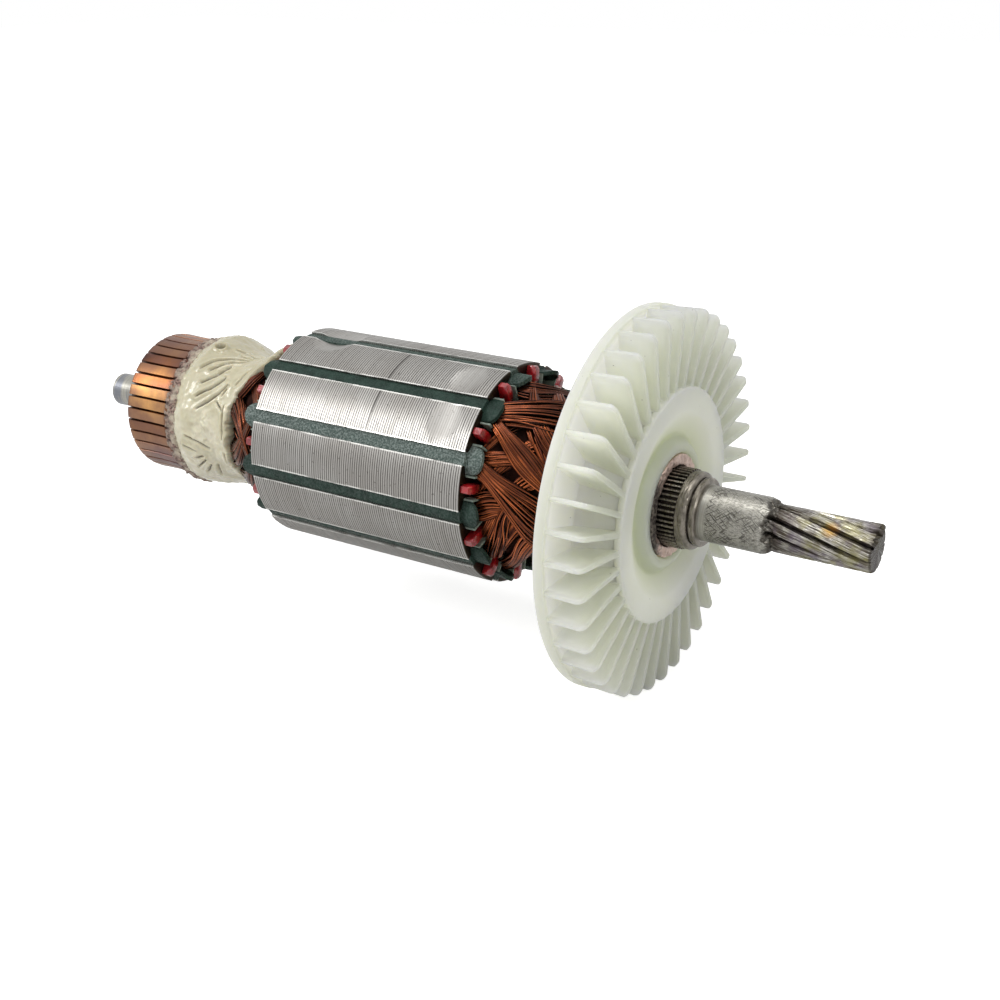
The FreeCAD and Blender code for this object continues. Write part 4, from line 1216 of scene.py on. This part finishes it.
def laid_bundle(side, first, last, count, sink):
    """Wires laid side by side in two layers between two edges, as lines of points."""
    shares = np.linspace(0, 1, 18)
    first, last = smoothed_edge(first, shares), smoothed_edge(last, shares)
    lines = []
    for layer, (number, drop) in enumerate(((count, 0.0), (count - 1, 0.38))):
        for n in range(number):
            spot = (n + 0.5 + 0.5 * layer) / count
            wander = chance.normal(0, 0.16 / count) * slow_wave(shares, 2, 7)
            spot = (spot + chance.normal(0, 0.22 / count) + wander * 4)[:, None]
            line = first * (1 - spot) + last * spot
            level = sink + drop + 0.9 * np.abs(2 * spot[:, 0] - 1) ** 4
            level = level + chance.choice([0.0, 0.0, 0.10, 0.22])
            level = level + 0.08 * slow_wave(shares, 3, 9)
            out = overhang_skin(side, line[:, 0], line[:, 1]) - 0.2 - level
            lines.append(spun(line[:, 0], np.maximum(out, 8.0), line[:, 1]))
    return lines


def sweeping_bundle(side, slot, direction, sink, count):
    """A coil's run from its slot round the overhang, laid as a bundle."""
    reach, _ = OVERHANG[side]
    first, last = [], []
    for share in (0.0, 0.12, 0.3, 0.5, 0.72, 0.9, 1.0):
        along = CORE_MIDDLE + side * (CORE_HALF - 0.2 + (reach + 0.2) * share)
        turn = slot_turn(slot) + direction * 72 * (1 - (1 - share) ** 1.8)
        wide = (7.0 + 6.5 * min(1, share / 0.25)) * 0.95
        slant = direction * side * 3.0 * min(1, share / 0.2)
        first.append((along - slant * 0.5 * (1 - share), turn - wide))
        last.append((along + slant * 0.5 * (1 - share), turn + wide))
    return laid_bundle(side, first, last, count, sink)


# Each bundle in view on the fan side: its two edges as (along, turn), how many wires lie
# side by side in it, and how deep it is sunk
FRONT_BUNDLES = [
    ([(-44.6, 88), (-43.0, 82), (-41.9, 80), (-39.7, 74), (-38.7, 59), (-34, 40), (-28.5, 28)],
     [(-44.6, 103), (-40.5, 106), (-38.8, 98), (-37.5, 89), (-36.3, 74), (-32, 56), (-27.5, 42)],
     15, 0.35),
    ([(-44.6, 118), (-42.9, 116), (-39.8, 108), (-37.1, 96), (-35.5, 83), (-31, 66), (-27.5, 55)],
     [(-44.6, 133), (-42.0, 131), (-38.8, 128), (-35.3, 125), (-32.6, 121), (-29, 112),
      (-26.8, 100)], 17, -0.25),
    ([(-42.5, 92), (-40.5, 108), (-38.0, 127), (-36.2, 135), (-33.8, 145), (-32.3, 156),
      (-29, 172)],
     [(-36.5, 90), (-34.6, 106), (-33.9, 117), (-33.3, 124), (-32.7, 132), (-31.6, 142),
      (-28.0, 160)], 12, 1.3),
    ([(-44.6, 131), (-42.0, 136), (-40.0, 143), (-37.9, 152), (-35.8, 160), (-33.0, 166),
      (-29.0, 180), (-27.0, 190)],
     [(-44.0, 122), (-39.7, 133), (-37.3, 135), (-34.0, 142), (-32.0, 151), (-30.5, 159),
      (-28.0, 170), (-26.8, 178)], 17, 0.1),
    ([(-44.6, 150), (-41.3, 158), (-38.3, 162), (-35.2, 166), (-32.0, 172), (-28.5, 188),
      (-27.0, 196)],
     [(-44.6, 164), (-42.0, 164), (-40.0, 172), (-37.6, 185), (-36.1, 200), (-35.2, 223),
      (-31.0, 240), (-28.0, 250)], 15, 0.1),
    ([(-44.6, 147), (-42.6, 148), (-41.6, 147), (-40.4, 146), (-36.5, 142)],
     [(-44.6, 160), (-42.5, 157), (-41.0, 157), (-39.7, 155), (-35.5, 152)], 8, 0.9),
    ([(-44.6, 177), (-42.5, 172), (-41.1, 171), (-39.7, 172), (-36.0, 175)],
     [(-44.6, 194), (-41.6, 193), (-40.7, 191), (-39.7, 189), (-35.5, 187)], 13, 0.9),
    ([(-44.6, 222), (-42.1, 204), (-40.4, 194), (-39.1, 183), (-36.5, 170)],
     [(-41.0, 226), (-38.4, 208), (-38.1, 197), (-37.6, 188), (-35.0, 176)], 10, 0.7),
    ([(-44.6, 236), (-43.4, 240), (-38.7, 223), (-36.8, 208), (-33.0, 194)],
     [(-44.6, 250), (-41.5, 250), (-37.9, 236), (-35.7, 225), (-32.0, 210)], 11, 0.35)]


def under_heap(side):
    """The dark, lumpy heap of wires that shows only between the ones on top."""
    reach, _ = OVERHANG[side]
    stations = CORE_MIDDLE + side * (CORE_HALF + np.linspace(0.02, reach - 0.6, 26))
    skin = overhang_skin(side, stations) - 2.7
    bore = 7.3
    profile = [(stations[0], bore)] + list(zip(stations, skin)) + [(stations[-1], bore)]

    def shape(along, out, degrees):
        lumps = rough(spun(along, out, degrees), 2.2, 1.0) * 0.5
        return along, np.where(out > bore + 0.1, out + lumps, out), degrees

    return turned(profile, 96, shape, loop=True)


def line_shape(name, lines, tones):
    """Edges only: a mesh of lines for the wire tree, each line with its tone."""
    points = np.vstack(lines)
    edges, numbers, first = [], [], 0
    for line, tone in zip(lines, tones):
        edges += [(first + n, first + n + 1) for n in range(len(line) - 1)]
        numbers += [tone] * len(line)
        first += len(line)
    mesh = bpy.data.meshes.new(name)
    mesh.from_pydata((points * MM).tolist(), edges, [])
    store_values(mesh, "tone", numbers)
    shape = bpy.data.objects.new(name, mesh)
    bpy.context.scene.collection.objects.link(shape)
    return shape


def winding():
    """Wires over a dark heap at both ends: laid as listed where they show, else in a pattern."""
    for label, side in (("fan_side", 1), ("lead_side", -1)):
        lines = []
        for slot in range(SLOTS):
            in_view = side > 0 and 3 <= slot <= 8
            lines += sweeping_bundle(side, slot, -1, 1.9, 13)
            if not in_view:
                direction = -1 if slot % 4 == 3 else 1
                lines += sweeping_bundle(side, slot + 0.1, direction, 0.5, 19)
        if side > 0:
            for first, last, count, sink in FRONT_BUNDLES:
                lines += laid_bundle(side, first, last, round(count * 1.25), sink)
        tones = np.clip(chance.normal(0.5, 0.27, len(lines)), 0, 1)
        wires = grown(line_shape("wire_lines", lines, tones), WIRE, f"wires_{label}",
                      FINISH["enamelled_copper"], Wire_Radius=WIRE_RADIUS * MM, Sides=5)
        points, faces = under_heap(side)
        body = make_piece(f"wire_body_{label}", points, faces, FINISH["wire_shadow"], 60)
        if side > 0:
            stands_for(wires, "enamelled_wire", *(f"coil_{n + 1:02d}" for n in range(SLOTS)))
        else:
            rides(wires)
        rides(body)


# Commutator
def commutator_bar():
    """One bar, worn hollow where the brushes ran."""
    profile = [(0.0, 12.6), (0.0, 14.2), (0.35, 14.55), (1.2, 14.6), (3.0, 14.52), (6.0, 14.47),
               (9.0, 14.52), (10.6, 14.6), (11.2, 14.6), (11.25, 14.9), (11.3, 15.1),
               (14.25, 15.1), (14.3, 12.6), (11.9, 11.4), (12.5, 9.9), (1.8, 9.9), (2.4, 11.4)]
    rows = []
    for spread, inset in ((-1.0, 0.12), (-0.94, 0.0), (-0.4, 0.0), (0.4, 0.0), (0.94, 0.0),
                          (1.0, 0.12)):
        rows.append([spun(BARS_START + station, out - (inset if out > 14 else 0.0),
                          spread * BAR_HALF_ANGLE) for station, out in profile])
    return make_piece("bar", rows, capped_faces(len(rows), len(profile)), FINISH["worn_copper"],
                      30)


def fused_hooks():
    """The bars' hooks and their leads, fused into one lumpy ring."""
    line = rounded([(-120.95, 13.6), (-120.95, 15.0), (-120.3, 15.35), (-118.4, 15.6),
                    (-117.6, 15.3), (-117.6, 13.6)], 0.3, 3)
    profile = finely(line + line[:1], 0.22)[:-1]
    marks = {}

    def shape(along, out, degrees):
        spot = spun(along, 15.0, degrees)
        skin = np.clip((out - 13.9) / 0.8, 0, 1)
        bar = np.abs(((degrees - BAR_PHASE) / BAR_PITCH) % 1.0 - 0.5) * 2
        notch = np.clip((0.30 - bar) / 0.25, 0, 1) * np.clip((-119.2 - along) / 0.8, 0, 1)
        lumps = 0.42 * rough(spot, 1.1, 2.0) + 0.20 * rough(spot, 0.5, 6.0)
        hole = np.clip((-lumps - 0.17) * 5, 0, 1) * np.clip((-118.6 - along) / 1.0, 0, 1)
        # Painted shade in the holes and in the notches between the hooks.
        marks["hollow"] = np.clip(np.maximum(hole, notch * 0.9), 0, 1) * skin
        out = out + skin * (lumps - 0.45 * notch - 0.35 * hole)
        along = along + 0.28 * rough(spot, 0.9, 8.0) * (along < -120.0)
        return along, np.minimum(out, RISER_LIMIT), degrees

    points, faces = turned(profile, 432, shape, loop=True)
    piece = make_piece("fused_hooks", points, faces, FINISH["riser_copper"], 70,
                       {"hollow": marks["hollow"].ravel()})
    rides(piece)


def commutator():
    """The ring of bars, and their hooks beside it."""
    bars = grown(commutator_bar(), RING, "copper_bars", FINISH["worn_copper"], Count=BARS,
                 Phase=BAR_PHASE, Turn_Scatter=0.12, Seed=5)
    stands_for(bars, "bar_copper", "commutator_bars")
    fused_hooks()


# Resin over the leads, with each crease as a line of points in (along, turn)
CREASES = [
    [(-114.3, 129), (-111.9, 118), (-108.8, 109), (-106.3, 104)],
    [(-112.1, 129), (-109.5, 116), (-106.6, 108)],
    [(-112.7, 140), (-110.4, 132), (-108.6, 119)],
    [(-112.7, 151), (-110.4, 143), (-108.7, 134), (-108.4, 130)],
    [(-112.1, 160), (-110.0, 153), (-108.1, 144), (-107.1, 136)],
    [(-110.8, 99), (-108.6, 95), (-104.5, 100)],
    [(-108.8, 103), (-106.5, 101), (-103.4, 101)],
    [(-104.6, 136), (-104.0, 126), (-102.3, 117)],
    [(-107.4, 146), (-106.5, 137)],
    [(-114.4, 182), (-111.6, 186), (-109.3, 191)],
    [(-115.1, 190), (-112.5, 194)],
    [(-109.0, 208), (-110.4, 224)],
    [(-110.5, 208), (-112.4, 217)],
    [(-113.6, 210), (-110.9, 202)],
    [(-113.0, 200), (-111.1, 198)],
    [(-105.6, 193), (-105.6, 206)],
    [(-108.1, 152), (-106.4, 158)],
    [(-106.0, 154), (-105.9, 168), (-105.6, 181)]]


def crease_gap(along, degrees):
    """How near each point of the resin is to a crease, in millimetres."""
    gap = np.full(along.shape, 9.0)
    height = degrees * DEGREE_LENGTH
    for line in CREASES:
        for (x0, t0), (x1, t1) in zip(line, line[1:]):
            run, rise = x1 - x0, (t1 - t0) * DEGREE_LENGTH
            for lap in (0.0, 360 * DEGREE_LENGTH):
                dx, dy = along - x0, height + lap - t0 * DEGREE_LENGTH
                share = np.clip((dx * run + dy * rise) / (run ** 2 + rise ** 2), 0, 1)
                taper = 0.10 * np.abs(share - 0.5)
                gap = np.minimum(gap, np.hypot(dx - share * run, dy - share * rise) + taper)
    return gap


def resin_end(degrees):
    """Where the resin stops: it ran furthest along the top."""
    turns = [-90, -40, 0, 50, 91, 112, 120, 128, 140, 155, 171, 189, 216, 245, 270]
    ends = [-103.5, -101.5, -99.5, -96.5, -96.0, -96.2, -97.8, -101.0, -103.2, -104.0, -104.5,
            -104.3, -105.2, -104.5, -103.5]
    return np.interp(over_top(degrees), turns, ends)


def resin_skin(along, degrees):
    """How far out the resin stands: it slopes down early above and below."""
    stations = [-117.8, -117.2, -115.3, -113.5, -111.6, -109.8, -108.2, -106.8, -103.5, -100.5,
                -97.5, -95.0]
    beside = np.interp(along, stations, [15.2, 15.6, 16.1, 15.9, 15.4, 14.8, 14.4, 14.3, 14.9,
                                         16.5, 18.3, 19.2])
    above = np.interp(along, stations, [15.4, 15.9, 16.2, 15.5, 14.7, 13.8, 13.2, 12.9, 13.8,
                                        15.3, 17.4, 18.8])
    below = np.interp(along, stations, [15.2, 15.4, 15.2, 14.9, 14.5, 13.9, 13.4, 13.1, 13.2,
                                        13.6, 14.5, 15.5])
    turn = over_top(degrees)
    top = np.clip(1.35 - np.abs(turn - 68) / 38, 0, 1)
    bottom = np.clip(1.35 - np.abs(turn - 242) / 32, 0, 1)
    return beside + (above - beside) * top + (below - beside) * bottom


def lead_resin():
    """Resin over the leads, folded where it was brushed and where the leads lie."""
    profile = [(0.0, 6.8), (0.0, 11.0)] + [(share, 15.0) for share in np.linspace(0, 1, 96)]
    profile += [(1.0, 11.0), (1.0, 6.8)]
    marks = {}

    def shape(share, out, degrees):
        skin = out > 12.0
        spot = spun(-117.7 + 13 * share, 15.0, degrees)
        around = spot * [0, 1, 1]
        ragged = 0.7 * rough(around, 2.5, 7.0) + 0.4 * rough(around, 0.9, 2.0)
        end = resin_end(degrees) + ragged
        drip = 0.5 * rough(around, 0.8, 5.0) * np.clip(1 - share * 12, 0, 1)
        along = RESIN_START + (end - RESIN_START) * share + drip * skin

        # A crease is a groove with a low bank beside it
        gap = crease_gap(along, degrees)
        width = 0.20 + 0.06 * rough(spot, 2.0, 11.0)
        fold = -0.50 * np.exp(-(gap / width) ** 2) + 0.20 * np.exp(-((gap - 0.6) / 0.35) ** 2)

        # Lumps all over, more of them at the hooks and in one patch
        uneven = 0.30 * rough(spot, 3.2, 2.0) + 0.12 * rough(spot, 1.0, 4.0)
        uneven = uneven + 0.5 * np.abs(rough(spot, 0.9, 13.0)) * np.clip(1 - share * 9, 0, 1)
        patch = np.hypot((along + 110.6) / 2.2, (degrees - 176) / 13)
        uneven = uneven + 0.55 * np.abs(rough(spot, 0.9, 21.0)) * np.clip(1.4 - patch, 0, 1)

        # One deep pit, and the edge where the resin thins out
        hole = np.hypot(along + 114.0, (degrees - 104.5) * DEGREE_LENGTH)
        pit = -2.4 * np.clip(1.3 - hole / 0.8, 0, 1) + 0.5 * np.exp(-((hole - 1.3) / 0.35) ** 2)
        edge = -1.1 * np.clip((share - 0.955) / 0.045, 0, 1) ** 2
        out = np.where(skin, resin_skin(along, degrees) + fold + uneven + pit + edge, out)
        # Painted shade down in the creases and in the pit.
        dark = np.maximum(np.clip(1.2 - gap / 0.20, 0, 1), np.clip(1.5 - hole / 0.75, 0, 1))
        marks["hollow"] = np.clip(dark, 0, 1) * 0.9 * skin
        return along, out, degrees

    points, faces = turned(profile, 440, shape, loop=True)
    piece = make_piece("lead_resin", points, faces, FINISH["cast_resin"], 70,
                       {"hollow": marks["hollow"].ravel()})
    stands_for(piece, "lead_resin", "lead_cone")


# Fan
def fan_blade():
    """One leaning blade: a thin plate from the hub disc out to the fan's rim."""
    lean = math.radians(BLADE_LEAN)
    outline = rounded([(-20.3, -0.3), (-13.0, -0.02), (-12.3, -1.2), (-12.45, -14.6),
                       (-13.2, -14.6), (-20.3, -9.6)], 0.9, 4)
    middle = np.mean(outline, axis=0)
    rows = []
    for lift, inset in ((-0.5, 0.2), (-0.34, 0.0), (0.34, 0.0), (0.5, 0.2)):
        ring = []
        for spot in outline:
            pull = spot - middle
            along, inward = middle + pull * (1 - inset / np.linalg.norm(pull))
            thickness = lift * (1.1 - 0.25 * (inward + 14) / 14)
            out = FAN_RADIUS + inward * math.cos(lean) + thickness * math.sin(lean)
            side = -inward * math.sin(lean) + thickness * math.cos(lean)
            ring.append((along, out, side))
        rows.append(ring)
    return make_piece("blade", rows, capped_faces(len(rows), len(outline)),
                      FINISH["milky_nylon"], 40)


def fan():
    """Blades, hub disc and back ring, moulded as one."""
    nylon = FINISH["milky_nylon"]
    blades = grown(fan_blade(), RING, "blades", nylon, Count=BLADES, Phase=BLADE_PHASE,
                   Turn_Scatter=0.12, Seed=4)
    back, face = FAN_STATION, FAN_STATION + FAN_DEPTH
    hub = rounded([(back - 3.2, 9.45), (face - 0.3, 9.45), (face - 0.15, 11.0),
                   (face - 2.2, 12.6), (face - 0.3, 16.8), (face, 21.4), (face - 1.5, 21.4),
                   (face - 1.7, 17.3), (face - 3.9, 13.1), (back - 3.2, 11.4)], 0.7, 5)
    disc = make_piece("disc", *turned(hub, 240, loop=True), nylon, 50)
    ring = rounded([(back - 0.4, 25.2), (back - 0.4, FAN_RADIUS), (back + 1.5, FAN_RADIUS),
                    (back + 1.5, 25.2), (back + 7.4, 21.2), (back + 6.4, 21.2),
                    (back - 0.2, 24.0)], 0.25, 3)
    back_ring = make_piece("back_ring", *turned(ring, 240, loop=True), nylon, 50)
    piece = made_one("fan_moulding", blades, [disc, back_ring], nylon, 40)
    stands_for(piece, "fan_nylon", "fan")


# Stage
def pale_floor():
    """A plain floor that shows white to the camera and takes a soft shadow."""
    mesh = bpy.data.meshes.new("floor")
    reach, low = 2.0, -35.25 * MM
    mesh.from_pydata([(-reach, -reach, low), (reach, -reach, low), (reach, reach, low),
                      (-reach, reach, low)], [], [(0, 1, 2, 3)])
    material = bpy.data.materials.new("pale_floor")
    material.use_nodes = True
    tree = material.node_tree
    tree.nodes.clear()
    seen = add(tree, "ShaderNodeLightPath").outputs
    mirrored = worked(tree, "MAXIMUM", seen["Is Glossy Ray"], seen["Is Transmission Ray"])
    direct = worked(tree, "ADD", times(tree, seen["Is Camera Ray"], 0.72),
                    times(tree, mirrored, 0.2))
    plain = add(tree, "ShaderNodeBsdfDiffuse", {"Color": (0.8, 0.8, 0.8, 1)}).outputs[0]
    glow = add(tree, "ShaderNodeEmission", {"Color": (1, 1, 1, 1), "Strength": direct})
    both = add(tree, "ShaderNodeAddShader", {0: plain, 1: glow.outputs[0]}).outputs[0]
    end = add(tree, "ShaderNodeOutputMaterial")
    tree.links.new(both, end.inputs["Surface"])
    put_in_scene("floor", mesh, material)


def studio_light():
    """White all round, dimmer where it only lights the part than where it is seen."""
    world = bpy.data.worlds.new("studio")
    world.use_nodes = True
    bpy.context.scene.world = world
    tree = world.node_tree
    tree.nodes.clear()
    seen = add(tree, "ShaderNodeLightPath").outputs
    direct = worked(tree, "MAXIMUM", seen["Is Camera Ray"],
                    worked(tree, "MAXIMUM", seen["Is Glossy Ray"], seen["Is Transmission Ray"]))
    white = add(tree, "ShaderNodeBackground", {"Color": (1, 1, 1, 1),
                                               "Strength": between(tree, direct, 0.38, 1.0)})
    end = add(tree, "ShaderNodeOutputWorld")
    tree.links.new(white.outputs[0], end.inputs["Surface"])


def lamp(name, place, aim, size, power):
    """A square area lamp at a place in metres, turned towards another place."""
    light = bpy.data.lights.new(name, "AREA")
    light.shape = "RECTANGLE"
    light.size = light.size_y = size
    light.energy = power
    holder = bpy.data.objects.new(name, light)
    bpy.context.scene.collection.objects.link(holder)
    holder.location = place
    holder.rotation_euler = (Vector(aim) - Vector(place)).to_track_quat("-Z", "Y").to_euler()


def lamps():
    """A key lamp at the front left, one overhead and a weak one on the right."""
    lamp("front_left", (-0.416, -0.366, 0.324), (-0.068, 0.0, 0.0), 0.17, 1.3)
    lamp("overhead", (-0.05, -0.05, 0.60), (-0.06, 0.0, 0.0), 0.35, 1.6)
    lamp("right", (0.45, -0.25, 0.30), (0.0, 0.0, 0.0), 0.20, 0.8)


def camera():
    """The photograph's viewpoint, as fitted to the core, the bars and the fan."""
    lens = bpy.data.cameras.new("camera")
    lens.lens = 50.75
    lens.sensor_width = 36.0
    lens.clip_start = 0.01
    lens.clip_end = 20.0
    holder = bpy.data.objects.new("camera", lens)
    bpy.context.scene.collection.objects.link(holder)
    turn = Matrix(((0.8502, -0.1918, 0.4903), (0.5265, 0.3098, -0.7918), (0.0, 0.9312, 0.3642)))
    holder.matrix_world = Matrix.Translation((0.0835, -0.2136, 0.0919)) @ turn.to_4x4()
    bpy.context.scene.camera = holder


FINISH = {make.__name__: make() for make in (
    core_steel, green_fibre, red_varnish, enamelled_copper, wire_shadow, worn_copper,
    riser_copper, brown_moulding, mica_brown, cast_resin, milky_nylon, insert_brass,
    dark_steel, worn_steel, liner_sheet)}

# Nodes of the CAD model that show as they are, in a finish of this script
NODE_FINISH = {"commutator_hub": "brown_moulding", "commutator_mica": "mica_brown",
               "shaft_insulation": "brown_moulding"}

for label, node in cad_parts.items():
    key = "liner_sheet" if label.startswith("slot_liner") else NODE_FINISH.get(label)
    if key:
        node.data.materials.clear()
        node.data.materials.append(FINISH[key])

worn_shaft()
pressed_sleeve()
brass_insert()
lamination_stack()
slot_closures()
end_insulators()
winding()
commutator()
lead_resin()
fan()
pale_floor()
studio_light()
lamps()
camera()

bpy.context.scene.view_settings.view_transform = "Standard"
